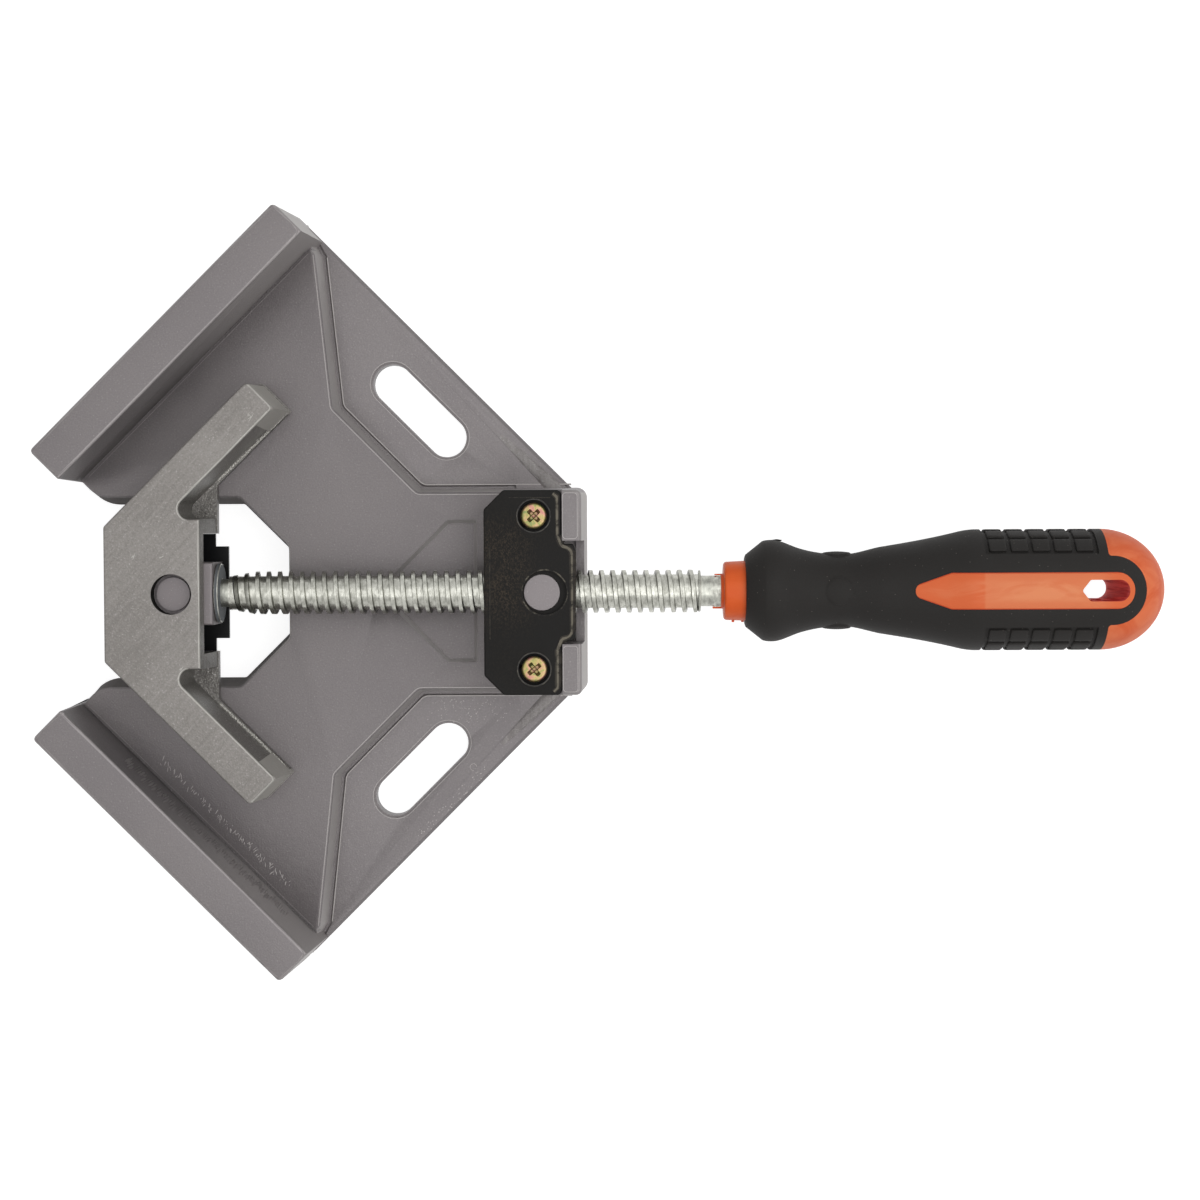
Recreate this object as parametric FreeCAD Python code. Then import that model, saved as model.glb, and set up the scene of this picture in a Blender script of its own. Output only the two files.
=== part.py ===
import FreeCAD, Part
import math
import os

# Corner clamp with one screw-driven swivelling jaw, in millimetres.
# X runs along the spindle towards the handle, Z is up from the bench, and the nut's
# vertical pivot stands on the Z axis. The fences meet at 45 degrees to X on the -X side.

V = FreeCAD.Vector

# Levels above the bench
wing_top = 6.0
floor_top = 15.0
fence_top = 40.0
cover_top = 36.0
jaw_top = 38.0
axis_z = 25.2

# Clearances between pieces
slide_gap = 0.3
pivot_gap = 0.1
bore_gap = 0.05
face_gap = 0.2
cover_gap = 0.25

# Fences
corner_reach = 158.1
fence_start = 43.1
fence_thick = 10.9
fence_outer_lean = 0.6
fence_end_lean = 2.1
fence_round = 0.9
fence_wall = 3.2
fence_rib = 4.0
fence_core_count = 3

# Side wings with their bolt slots
wing_edge = 36.0
wing_edge_break = 0.9
slot_inset = 14.5
slot_along = 59.75
slot_span = 21.1
slot_r = 5.45
slot_break = 0.6

# Floor, its notch, its recesses and the hollow underneath
floor_lean = 1.8
floor_round = 0.6
floor_half = 27.05
step_x1 = -34.7
step_x2 = -57.9
step_y2 = 50.4
floor_tip_drop = 3.27
floor_tip_shift = 0.23
step_round = 3.0
toe_depth = 0.5
toe_width = 1.3
notch_half = 26.15
notch_end_x = -70.0
notch_end_half = 12.6
notch_round = 3.0
floor_corner_round = 8.0
foot_groove_width = 2.0
foot_groove_depth = 1.3
arrow_x = -18.3
arrow_half = 19.6
arrow_shoulder = 8.2
arrow_depth = 1.8
arrow_lean = 1.0
floor_skin = 4.0
skirt_wall = 3.6
under_rib = 3.0
under_rib_pitch = 22.0
least_pocket = 300.0

# Nut housing on the base
housing_x1 = -15.4
housing_x2 = 10.6
housing_half = 27.35
housing_lean = 1.2
housing_chamfer = 5.2
housing_round = 1.6
pad_edge_round = 1.1
channel_half = 13.8
channel_floor = 16.4
saddle_gap = 0.7
saddle_top = 18.4
gusset_length = 24.0
gusset_height = 1.2
gusset_width = 4.2
gusset_spread = 1.6
pillar_core_roof = 13.0
pillar_core_wall = 3.5

# Cover over the nut
cover_thick = 5.0
cover_x2 = 5.2
cover_tab_x = 8.9
cover_tab_half = 13.0
cover_round = 1.2
cover_edge_round = 0.5
cover_relief_half = 11.5
cover_relief = 2.4
pivot_sink_r = 5.9
pivot_sink_x = 0.8
pivot_sink_depth = 1.4
counterbore_r = 4.3
counterbore_depth = 2.4

# Cover screws
cover_screw_x = -2.06
cover_screw_inset = 6.9
cover_screw_r = 2.0
cover_screw_reach = 12.0
cover_head_r = 3.5
cover_head_height = 2.0
cover_head_dome = 0.5
screw_hole_spare = 2.0

# Nut block
nut_barrel_r = 9.2
nut_half_length = 8.2
nut_trunnion_r = 4.85
nut_trunnion_down = 8.0
nut_trunnion_up = 1.4

# Spindle
thread_r = 5.8
thread_x1 = -84.6
thread_x2 = 42.6
thread_bevel = 1.4
neck_r = 3.8
journal_r = 3.6
shank_r = 4.15
shank_length = 34.0
nose_past_ring = 1.0
ring_groove_r = 3.0

# Thrust washer and retaining ring
washer_r = 8.0
washer_thick = 1.2
neck_length = 2.2
ring_r = 5.6
ring_thick = 1.2
ring_mouth = 4.4

# Head block that the spindle turns in
pivot_to_head_rear = 10.3
head_half = 8.4
head_front = 6.9
head_trunnion_r = 4.45
head_trunnion_up = 1.4
head_edge_round = 0.8

# Jaw
work_gap = 16.83
jaw_nose = 18.0
jaw_arm_thick = 9.97
jaw_arm_reach = 81.2
jaw_tip_lean = 1.6
jaw_flange_thick = 3.2
jaw_flange_step = 1.3
jaw_inner_lean = 0.4
jaw_rear = 7.6
jaw_ledge = 1.7
jaw_block_half = 19.9
jaw_pocket_round = 2.8
jaw_corner_round = 1.2
jaw_edge_round = 0.6
jaw_tip_block = 8.0
jaw_roof = 4.7
jaw_bore_r = 5.4
jaw_cavity_half = 16.1
jaw_nose_wall = 5.2
jaw_cavity_chamfer = 8.0
jaw_boss_r = 3.4
jaw_arm_core_width = 3.6
jaw_arm_core_ends = 7.0

# Keeper plate under the head block, with its two screws
keeper_thick = 1.4
keeper_tail = 3.6
keeper_tail_half = 12.6
keeper_ledge = 3.0
keeper_screw_back = 5.2
keeper_screw_y = 12.0
keeper_screw_r = 1.5
keeper_head_r = 2.9
keeper_screw_reach = 8.0

# Handle
collar_x = 48.8
collar_r = 8.0
grip_x = 54.6
grip_front_r = 10.0
grip_front_edge = 0.6
shoulder_x = 59.3
shoulder_r = 13.4
shoulder_slope = 0.35
bulge_x = 61.8
bulge_r = 13.75
throat_x = 69.4
throat_r = 11.4
throat_slope = -0.3
waist_x = 81.0
waist_r = 9.75
taper_x = 91.0
taper_r = 11.7
taper_slope = 0.16
body_x = 114.5
body_r = 16.35
body_slope = 0.25
grip_end_x = 150.2
dome_length = 17.4
grip_skin = 3.0

# Orange inlay, the lobe round it and the hanging hole
inlay_tip_x = 99.2
inlay_tip_half = 0.9
inlay_full_x = 108.6
inlay_half = 4.85
inlay_flank_round = 6.0
inlay_end_x = 157.2
lobe_half = 9.2
lobe_margin = 3.1
hole_x1 = 143.1
hole_x2 = 155.4
hole_half = 2.85
hole_point = 2.3

# Grip blocks, on both sides of the grip
block_count = 5
block_pitch = 5.76
block_length = 4.6
block_first_x = 121.2
row_count = 5
row_pitch_deg = 20.5
groove_depth = 0.8

# Places that follow from the sizes above
jaw_bottom = floor_top + slide_gap
jaw_apex_x = -corner_reach + work_gap * math.sqrt(2.0)
head_rear_x = thread_x1 - neck_length - washer_thick - pivot_gap
pivot_x = head_rear_x - pivot_to_head_rear
jaw_rear_x = pivot_x + jaw_rear
cover_seat = cover_top - cover_thick
relief_roof = cover_seat + cover_relief
cover_screw_y = housing_half - cover_screw_inset
nut_bottom = channel_floor + face_gap
nut_top = relief_roof - face_gap
head_bottom = jaw_bottom + keeper_thick + face_gap
head_top = jaw_top - jaw_roof - face_gap
fence_end = (corner_reach + wing_edge) / math.sqrt(2.0)


# Plan outlines: closed lists of (x, y, corner radius), anticlockwise

def corner(x, y, r=0.0):
    return (x, y, r)


def mirrored(upper):
    """The upper half of an outline joined to its mirror image in the X axis."""
    lower = [(x, -y, r) for x, y, r in reversed(upper)]
    return upper + lower


def fence_place(along, out, apex_x=-corner_reach):
    """A point given along a fence from the corner, and out from its inner face."""
    diagonal = math.sqrt(0.5)
    return (apex_x + (along - out) * diagonal, (along + out) * diagonal)


def edge_normal(a, b):
    length = math.hypot(b[0] - a[0], b[1] - a[1])
    return ((b[1] - a[1]) / length, -(b[0] - a[0]) / length)


def grown(points, amounts):
    """The outline with each edge moved outwards; edge i runs from point i to the next."""
    count = len(points)
    if not isinstance(amounts, (list, tuple)):
        amounts = [amounts] * count
    result = []
    for i in range(count):
        before, here, after = points[i - 1], points[i], points[(i + 1) % count]
        n1 = edge_normal(before, here)
        n2 = edge_normal(here, after)
        e1, e2 = amounts[i - 1], amounts[i]
        cross = n1[0] * n2[1] - n1[1] * n2[0]
        dx = (e1 * n2[1] - e2 * n1[1]) / cross
        dy = (e2 * n1[0] - e1 * n2[0]) / cross
        change = 0.5 * (e1 + e2)
        radius = here[2] + (change if cross > 0 else -change) if here[2] else 0.0
        result.append((here[0] + dx, here[1] + dy, radius))
    return result


def wire(points, z):
    """A closed wire at height z, with a tangent arc at each corner that has a radius."""
    count = len(points)
    starts, ends, middles = [], [], []
    for i in range(count):
        before, here, after = points[i - 1], points[i], points[(i + 1) % count]
        p = V(here[0], here[1], z)
        into = (p - V(before[0], before[1], z)).normalize()
        away = (V(after[0], after[1], z) - p).normalize()
        if here[2] <= 0.0:
            starts.append(p)
            ends.append(p)
            middles.append(None)
            continue
        turn = into.getAngle(away)
        reach = here[2] * math.tan(turn / 2.0)
        a = p - into * reach
        b = p + away * reach
        inward = (away - into).normalize()
        centre = p + inward * (here[2] / math.cos(turn / 2.0))
        starts.append(a)
        ends.append(b)
        middles.append(centre - inward * here[2])
    edges = []
    for i in range(count):
        if middles[i] is not None:
            edges.append(Part.Arc(starts[i], middles[i], ends[i]).toShape())
        nxt = (i + 1) % count
        if ends[i].distanceToPoint(starts[nxt]) > 1e-6:
            edges.append(Part.makeLine(ends[i], starts[nxt]))
    return Part.Wire(edges)


def prism(points, z1, z2):
    return Part.Face(wire(points, z1)).extrude(V(0, 0, z2 - z1))


def tapered(points, z1, z2, amounts):
    """A block with the given outline on top, and with its foot grown by the amounts."""
    return Part.makeLoft([wire(grown(points, amounts), z1), wire(points, z2)], True, True)


def rounded_edges(shape, radius, wanted):
    edges = [e for e in shape.Edges if wanted(e)]
    return shape.makeFillet(radius, edges)


def at_height(z):
    return lambda edge: all(abs(v.Z - z) < 1e-6 for v in edge.Vertexes)


def rectangle(x1, x2, half_width, r=0.0):
    return [(x2, -half_width, r), (x2, half_width, r), (x1, half_width, r), (x1, -half_width, r)]


def flipped(shape):
    """The mirror image across the spindle's plane."""
    return shape.mirror(V(0, 0, 0), V(0, 1, 0))


def upright(x, y, r, z1, z2):
    return Part.makeCylinder(r, z2 - z1, V(x, y, z1), V(0, 0, 1))


def along_axis(x1, x2, r):
    return Part.makeCylinder(r, x2 - x1, V(x1, 0, axis_z), V(1, 0, 0))


def turned(profile):
    """A solid turned about the spindle's axis from (x, radius) points, closed on the axis."""
    points = [V(profile[0][0], 0, axis_z)]
    points += [V(x, 0, axis_z + r) for x, r in profile]
    points += [V(profile[-1][0], 0, axis_z), V(profile[0][0], 0, axis_z)]
    face = Part.Face(Part.makePolygon(points))
    return face.revolve(V(0, 0, axis_z), V(1, 0, 0), 360)


# Base casting

def fence_outline(along1, along2, out1, out2, apex_x=-corner_reach):
    corners = ((along2, out1), (along2, out2), (along1, out2), (along1, out1))
    places = [fence_place(s, t, apex_x) for s, t in corners]
    return [(x, y, 0.0) for x, y in places]


def fence():
    """The upper fence: vertical working face, leaning back and ends, cored from below."""
    top = fence_outline(fence_start, fence_end - fence_end_lean, 0.0, fence_thick)
    leans = [fence_end_lean, fence_outer_lean, fence_outer_lean, 0.0]
    block = tapered(top, 0.0, fence_top, leans)
    block = rounded_edges(block, fence_round, at_height(fence_top))
    room = fence_end - fence_end_lean - fence_start - 2 * fence_wall
    core = (room - (fence_core_count - 1) * fence_rib) / fence_core_count
    for i in range(fence_core_count):
        s = fence_start + fence_wall + i * (core + fence_rib)
        hole = fence_outline(s, s + core, fence_wall, fence_thick - fence_wall)
        block = block.cut(tapered(hole, 0.0, fence_top - fence_wall, fence_outer_lean))
    return block


def floor_outline(fence_side):
    """The raised floor, ending a given distance out from the fences' working faces."""
    far = fence_place(fence_end - fence_end_lean, fence_side)
    near = fence_place(fence_start + fence_outer_lean, fence_side)
    tip = fence_place(fence_end - fence_end_lean, 0.0)
    turn_x = near[0] + near[1] - notch_half
    slope_x = notch_end_x - (notch_half - notch_end_half)
    return mirrored([
        corner(housing_x1 + housing_chamfer, floor_half),
        corner(step_x1, floor_half, step_round),
        corner(step_x2, step_y2, step_round),
        corner(tip[0] + floor_tip_shift, tip[1] - floor_tip_drop),
        corner(far[0], far[1]),
        corner(near[0], near[1]),
        corner(turn_x, notch_half, floor_corner_round),
        corner(slope_x, notch_half, notch_round),
        corner(notch_end_x, notch_end_half, notch_round),
    ])


def wing_outline():
    """Both wings as one plate, reaching under the floor and the housing."""
    end = fence_place(fence_end, 0.5 * fence_thick)
    under = fence_place(0.75 * fence_end, 0.5 * fence_thick)
    return mirrored([
        corner(wing_edge - floor_half, floor_half),
        corner(end[0], end[1]),
        corner(under[0], under[1]),
        corner(0.5 * (notch_end_x + step_x1), notch_end_half),
    ])


def slot_centres():
    """The two cap centres of the upper wing's bolt slot."""
    middle = wing_edge - slot_inset * math.sqrt(2.0)
    places = []
    for along in (slot_along + slot_span / 2, slot_along - slot_span / 2):
        slant = -along * math.sqrt(2.0)
        places.append(V((middle + slant) / 2, (middle - slant) / 2, 0))
    return places


def slot_cutter(radius, z1, z2):
    a, b = slot_centres()
    side = (b - a).normalize().cross(V(0, 0, 1)) * radius
    corners = [a - side, b - side, b + side, a + side]
    bar = prism([(p.x, p.y, 0.0) for p in reversed(corners)], z1, z2)
    caps = [upright(p.x, p.y, radius, z1, z2) for p in (a, b)]
    return bar.fuse(caps).removeSplitter()


def gusset():
    """The low brace that rises along the wing's edge to the housing's corner."""
    foot_x = wing_edge - housing_half - housing_lean
    foot = V(foot_x, wing_edge - foot_x, wing_top)
    along = V(-1, 1, 0).normalize() * gusset_length
    inward = V(-1, -1, 0).normalize() * gusset_width
    edge = inward * 0.25
    back = inward * gusset_spread
    low = [foot + edge, foot + edge + along, foot + back + along, foot + back]
    high = V(0, 0, gusset_height)
    below = V(0, 0, -1)
    section1 = Part.makePolygon([low[0] + below, low[0] + edge + high, low[3] - inward * 0.6 + high,
                                 low[3] + below, low[0] + below])
    section2 = Part.makePolygon([low[1] + below, low[1] + edge * 2, low[2] - inward * 0.6,
                                 low[2] + below, low[1] + below])
    return Part.makeLoft([section1, section2], True, True)


def housing_outline(rear_x, radius):
    chamfer_x = housing_x1 + housing_chamfer
    return mirrored([
        corner(rear_x, housing_half, radius),
        corner(chamfer_x, housing_half, radius),
        corner(housing_x1, housing_half - housing_chamfer, radius),
    ])


def housing_cuts():
    seat_x = cover_x2 + cover_gap
    far = 4 * housing_x2
    cuts = [
        prism(rectangle(-far, seat_x, far), cover_seat, fence_top),
        prism(rectangle(-far, nut_half_length + saddle_gap, channel_half), channel_floor, fence_top),
        prism(rectangle(-far, far, channel_half), saddle_top, fence_top),
        upright(0, 0, nut_trunnion_r + pivot_gap, nut_bottom - nut_trunnion_down - face_gap, fence_top),
    ]
    for y in (cover_screw_y, -cover_screw_y):
        depth = cover_screw_reach + screw_hole_spare
        cuts.append(upright(cover_screw_x, y, cover_screw_r + bore_gap, cover_seat - depth, cover_seat))
    core_half_length = 0.5 * (housing_x2 - housing_x1) - pillar_core_wall
    core_x = 0.5 * (housing_x2 + housing_x1)
    core_y1 = channel_half - 0.5 * pillar_core_wall
    core_y2 = housing_half - pillar_core_wall
    core = [(core_x + core_half_length, core_y1, 1.0), (core_x + core_half_length, core_y2, 1.0),
            (core_x - core_half_length + housing_chamfer / 2, core_y2, 1.0),
            (core_x - core_half_length, core_y1, 1.0)]
    pocket = tapered(core, 0.0, pillar_core_roof, 0.4)
    return cuts + [pocket, flipped(pocket)]


def arrow_recess():
    shoulder_x = arrow_x - arrow_shoulder
    outline = [(arrow_x, -arrow_half, 0.8), (arrow_x, arrow_half, 0.8), (shoulder_x, arrow_half, 0.8),
               (shoulder_x - arrow_half, 0.0, 0.8), (shoulder_x, -arrow_half, 0.8)]
    floor_face = grown(outline, -arrow_lean)
    z = floor_top - arrow_depth
    return Part.makeLoft([wire(floor_face, z), wire(outline, floor_top)], True, True)


def underside():
    """The pockets under the floor, between its skirt, the ribs and the housing's foot."""
    upper = floor_outline(0.0)[:9]
    # Beside each fence the strip runs out to plain corners, so the skirt can take any width.
    start = corner(notch_half - corner_reach, notch_half)
    outline = mirrored([corner(p[0], p[1]) for p in upper[:3] + [upper[4], start] + upper[7:]])
    hollow = prism(grown(outline, -skirt_wall), 0.0, floor_top - floor_skin)
    far = 4 * housing_x2
    hollow = hollow.cut(prism(rectangle(arrow_x, far, far), 0.0, floor_top))
    walls = [(0.0, fence_start + fence_outer_lean + skirt_wall, 0.5 * fence_start)]
    for i in range(1, int((fence_end - fence_start) / under_rib_pitch)):
        s = fence_start + i * under_rib_pitch
        walls.append((s, s + under_rib, fence_end))
    for s1, s2, depth in walls:
        wall = prism(fence_outline(s1, s2, -depth, 0.0), 0.0, floor_top)
        hollow = hollow.cut([wall, flipped(wall)])
    return Part.makeCompound([pocket for pocket in hollow.Solids if pocket.Volume > least_pocket])


def base_casting():
    wing = prism(wing_outline(), 0.0, wing_top)
    edge = [e for e in wing.Edges if abs(e.BoundBox.ZMax - wing_top) < 1e-6
            and e.BoundBox.ZLength < 1e-6
            and all(abs(v.X + abs(v.Y) - wing_edge) < 1e-6 for v in e.Vertexes)]
    wing = wing.makeChamfer(wing_edge_break, edge)
    floor = floor_outline(0.5 * fence_thick)
    toe = wing_top - toe_depth
    toe_line = grown(floor, floor_lean * (1.0 - wing_top / floor_top) + toe_width)
    wing = wing.cut(Part.makeLoft([wire(grown(toe_line, -toe_depth), toe), wire(toe_line, wing_top)],
                                  True, True))
    plateau = tapered(floor, 0.0, floor_top, floor_lean)
    plateau = rounded_edges(plateau, floor_round, at_height(floor_top))
    groove = fence_outline(0.0, 2 * fence_end, -foot_groove_width, 0.0)
    groove = prism(groove, floor_top - foot_groove_depth, floor_top)
    house = tapered(housing_outline(housing_x2, housing_round), 0.0, cover_top, housing_lean)
    house = rounded_edges(house, pad_edge_round, at_height(cover_top))
    base = plateau.fuse([wing, house, gusset(), flipped(gusset())])
    base = base.cut([underside(), arrow_recess(), groove, flipped(groove)] + housing_cuts())
    base = base.fuse([fence(), flipped(fence())])
    slots = []
    for radius, z1 in ((slot_r, 0.0), (slot_r + slot_break, wing_top - slot_break)):
        cutter = slot_cutter(radius, z1, wing_top)
        slots += [cutter, flipped(cutter)]
    return base.cut(slots).removeSplitter()


# Cover, its screws and the nut

def nut_cover():
    chamfer_x = housing_x1 + housing_chamfer
    outline = mirrored([
        corner(cover_tab_x, cover_tab_half, cover_round),
        corner(cover_x2, cover_tab_half, cover_round),
        corner(cover_x2, housing_half, cover_round),
        corner(chamfer_x, housing_half, cover_round),
        corner(housing_x1, housing_half - housing_chamfer, cover_round),
    ])
    plate = prism(outline, cover_seat, cover_top)
    plate = rounded_edges(plate, cover_edge_round, at_height(cover_top))
    far = 4 * housing_x2
    cuts = [prism(rectangle(-far, far, cover_relief_half), cover_seat, relief_roof),
            prism(rectangle(cover_x2 + cover_gap, far, far), cover_seat, relief_roof),
            upright(0, 0, nut_trunnion_r + pivot_gap, cover_seat, cover_top),
            upright(pivot_sink_x, 0, pivot_sink_r, cover_top - pivot_sink_depth, cover_top)]
    for y in (cover_screw_y, -cover_screw_y):
        cuts.append(upright(cover_screw_x, y, cover_screw_r + face_gap, cover_seat, cover_top))
        cuts.append(upright(cover_screw_x, y, counterbore_r, cover_top - counterbore_depth, cover_top))
    return plate.cut(cuts)


def cover_screw(y):
    seat = cover_top - counterbore_depth
    shank = upright(cover_screw_x, y, cover_screw_r, cover_seat - cover_screw_reach, seat)
    head = upright(cover_screw_x, y, cover_head_r, seat, seat + cover_head_height)
    head = rounded_edges(head, cover_head_dome, at_height(seat + cover_head_height))
    return shank.fuse(head).removeSplitter()


def nut_block():
    barrel = upright(0, 0, nut_barrel_r, nut_bottom, nut_top)
    flats = rectangle(-nut_half_length, nut_half_length, nut_barrel_r)
    barrel = barrel.common(prism(flats, nut_bottom, nut_top))
    lower = upright(0, 0, nut_trunnion_r, nut_bottom - nut_trunnion_down, nut_bottom)
    upper = upright(0, 0, nut_trunnion_r, nut_top, nut_top + nut_trunnion_up)
    bore = along_axis(-2 * nut_barrel_r, 2 * nut_barrel_r, thread_r + bore_gap)
    return barrel.fuse([lower, upper]).cut(bore).removeSplitter()


# Spindle with its washer and ring

def spindle_screw():
    washer_x = thread_x1 - neck_length
    ring_x = pivot_x - head_front - pivot_gap
    nose_x = ring_x - ring_thick - nose_past_ring
    end_x = collar_x + shank_length
    return turned([
        (nose_x, journal_r - 0.5 * nose_past_ring), (nose_x + 0.5 * nose_past_ring, journal_r),
        (ring_x - ring_thick, journal_r), (ring_x - ring_thick, ring_groove_r),
        (ring_x, ring_groove_r), (ring_x, journal_r),
        (washer_x, journal_r), (washer_x, neck_r), (thread_x1, neck_r),
        (thread_x1 + thread_bevel, thread_r), (thread_x2 - thread_bevel, thread_r),
        (thread_x2, shank_r), (end_x, shank_r),
    ])


def thrust_washer():
    x = thread_x1 - neck_length - washer_thick
    disc = along_axis(x, x + washer_thick, washer_r)
    return disc.cut(along_axis(x, x + washer_thick, journal_r + bore_gap))


def retaining_ring():
    """A snap ring with an open mouth, sprung into the groove in the spindle's nose."""
    x2 = pivot_x - head_front - pivot_gap
    x1 = x2 - ring_thick
    disc = along_axis(x1, x2, ring_r).cut(along_axis(x1, x2, ring_groove_r + bore_gap))
    mouth = Part.makeBox(ring_thick, ring_mouth, 2 * ring_r, V(x1, -ring_mouth / 2, axis_z - 2 * ring_r))
    return disc.cut(mouth)


# Head block, jaw and keeper

def head_block():
    body = prism(rectangle(pivot_x, head_rear_x, head_half), head_bottom, head_top)
    front = upright(pivot_x, 0, head_half, head_bottom, head_top)
    keep = prism(rectangle(pivot_x - head_front, head_rear_x, head_half), head_bottom, head_top)
    body = body.fuse(front).common(keep).removeSplitter()
    body = rounded_edges(body, head_edge_round, at_height(head_top))
    lower = upright(pivot_x, 0, head_trunnion_r, jaw_bottom + face_gap, head_bottom)
    upper = upright(pivot_x, 0, head_trunnion_r, head_top, head_top + head_trunnion_up)
    bore = along_axis(pivot_x - 2 * head_half, head_rear_x, journal_r + bore_gap)
    return body.fuse([lower, upper]).cut(bore).removeSplitter()


def jaw_upper_outline():
    """The jaw seen from above: a centre block between two arms at 45 degrees."""
    tip_in = fence_place(jaw_arm_reach - jaw_tip_lean, -jaw_arm_thick, jaw_apex_x)
    tip_out = fence_place(jaw_arm_reach - jaw_tip_lean, 0.0, jaw_apex_x)
    pocket_x = jaw_block_half + jaw_apex_x + jaw_arm_thick * math.sqrt(2.0)
    return mirrored([
        corner(jaw_rear_x, jaw_block_half),
        corner(pocket_x, jaw_block_half, jaw_pocket_round),
        corner(tip_in[0], tip_in[1], jaw_corner_round),
        corner(tip_out[0], tip_out[1], jaw_corner_round),
        corner(jaw_apex_x + jaw_nose, jaw_nose, jaw_corner_round),
    ])


def jaw_lower_outline():
    """The flange round the foot of the jaw, which also floors the two pockets."""
    out = -jaw_arm_thick - jaw_flange_step
    tip_in = fence_place(jaw_arm_reach, out, jaw_apex_x)
    tip_out = fence_place(jaw_arm_reach, 0.0, jaw_apex_x)
    rear_x = jaw_rear_x + jaw_ledge
    rear_y = rear_x - jaw_apex_x + out * math.sqrt(2.0)
    return mirrored([
        corner(rear_x, rear_y, 1.0),
        corner(tip_in[0], tip_in[1], jaw_corner_round),
        corner(tip_out[0], tip_out[1], jaw_corner_round),
        corner(jaw_apex_x + jaw_nose, jaw_nose, jaw_corner_round),
    ])


def jaw_tip():
    """The solid block at the arm's end, leaning out to the flange's edge."""
    start = jaw_arm_reach - jaw_tip_block
    stop = jaw_arm_reach - jaw_tip_lean
    top = fence_outline(start, stop, -jaw_arm_thick, -0.5 * jaw_arm_thick, jaw_apex_x)
    return tapered(top, jaw_bottom, jaw_top - jaw_edge_round, [jaw_tip_lean, 0.0, 0.0, jaw_flange_step])


def jaw_cavity():
    """The room for the head block, open to the rear, and the keeper's recess below it."""
    front_x = jaw_apex_x + jaw_nose + jaw_nose_wall
    room = mirrored([
        corner(jaw_rear_x + 2 * jaw_ledge, jaw_cavity_half),
        corner(front_x + jaw_cavity_chamfer, jaw_cavity_half),
        corner(front_x, jaw_cavity_half - jaw_cavity_chamfer),
    ])
    room = prism(room, jaw_bottom, jaw_top - jaw_roof)
    recess = prism(grown(keeper_outline(), bore_gap), jaw_bottom, jaw_bottom + keeper_thick)
    return room.cut([keeper_boss(), flipped(keeper_boss())]).fuse(recess)


def keeper_boss():
    """The post that takes a keeper screw, grown out of the cavity's side wall."""
    x = pivot_x - keeper_screw_back
    z1, z2 = jaw_bottom + keeper_thick, jaw_top - jaw_roof
    web = [(x + jaw_boss_r, keeper_screw_y, 0.0), (x + jaw_boss_r, jaw_cavity_half, 0.0),
           (x - jaw_boss_r, jaw_cavity_half, 0.0), (x - jaw_boss_r, keeper_screw_y, 0.0)]
    return upright(x, keeper_screw_y, jaw_boss_r, z1, z2).fuse(prism(web, z1, z2))


def jaw_arm_core():
    """The slot cored into the arm from below."""
    start = jaw_nose * math.sqrt(2.0) + jaw_arm_core_ends + jaw_arm_thick
    stop = jaw_arm_reach - jaw_tip_lean - jaw_arm_core_ends
    middle = -0.5 * jaw_arm_thick
    width = 0.5 * jaw_arm_core_width
    hole = fence_outline(start, stop, middle - width, middle + width, jaw_apex_x)
    return tapered(hole, jaw_bottom, jaw_top - jaw_roof, 0.5 * width)


def jaw_casting():
    outline = jaw_upper_outline()
    half_leans = [jaw_inner_lean, jaw_inner_lean, jaw_tip_lean, 0.0]
    leans = half_leans + [0.0, 0.0, jaw_tip_lean, jaw_inner_lean, jaw_inner_lean, jaw_ledge]
    upper = tapered(outline, jaw_bottom, jaw_top, leans)
    upper = rounded_edges(upper, jaw_edge_round, at_height(jaw_top))
    flange = prism(jaw_lower_outline(), jaw_bottom, jaw_bottom + jaw_flange_thick)
    jaw = upper.fuse([flange, jaw_tip(), flipped(jaw_tip())])
    screw_top = jaw_bottom + keeper_thick + keeper_screw_reach
    holes = [upright(pivot_x - keeper_screw_back, y, keeper_screw_r + bore_gap, jaw_bottom, screw_top)
             for y in (keeper_screw_y, -keeper_screw_y)]
    bore = upright(pivot_x, 0, jaw_bore_r, jaw_bottom, jaw_top)
    jaw = jaw.cut([jaw_cavity(), bore, jaw_arm_core(), flipped(jaw_arm_core())] + holes)
    return jaw.removeSplitter()


def keeper_outline():
    """A T-shaped plate: the wide head lies in the jaw, the narrow tail shows behind it."""
    front_x = jaw_apex_x + jaw_nose + jaw_nose_wall - keeper_ledge
    side = jaw_cavity_half - bore_gap
    rear_x = jaw_rear_x + 0.5 * jaw_ledge
    return mirrored([
        corner(rear_x + keeper_tail, keeper_tail_half),
        corner(rear_x, keeper_tail_half),
        corner(rear_x, side),
        corner(front_x + jaw_cavity_chamfer, side),
        corner(front_x, side - jaw_cavity_chamfer),
    ])


def keeper_plate():
    plate = prism(keeper_outline(), jaw_bottom, jaw_bottom + keeper_thick)
    cuts = [upright(pivot_x, 0, head_trunnion_r + pivot_gap, jaw_bottom, head_bottom)]
    for y in (keeper_screw_y, -keeper_screw_y):
        cuts.append(Part.makeCone(keeper_head_r, keeper_screw_r + bore_gap, keeper_thick,
                                  V(pivot_x - keeper_screw_back, y, jaw_bottom), V(0, 0, 1)))
    return plate.cut(cuts)


def keeper_screw(y):
    x = pivot_x - keeper_screw_back
    foot = V(x, y, jaw_bottom)
    head = Part.makeCone(keeper_head_r - bore_gap, keeper_screw_r, keeper_thick, foot, V(0, 0, 1))
    seat = jaw_bottom + keeper_thick
    shank = upright(x, y, keeper_screw_r, seat, seat + keeper_screw_reach - face_gap)
    return head.fuse(shank).removeSplitter()


# Handle

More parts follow.
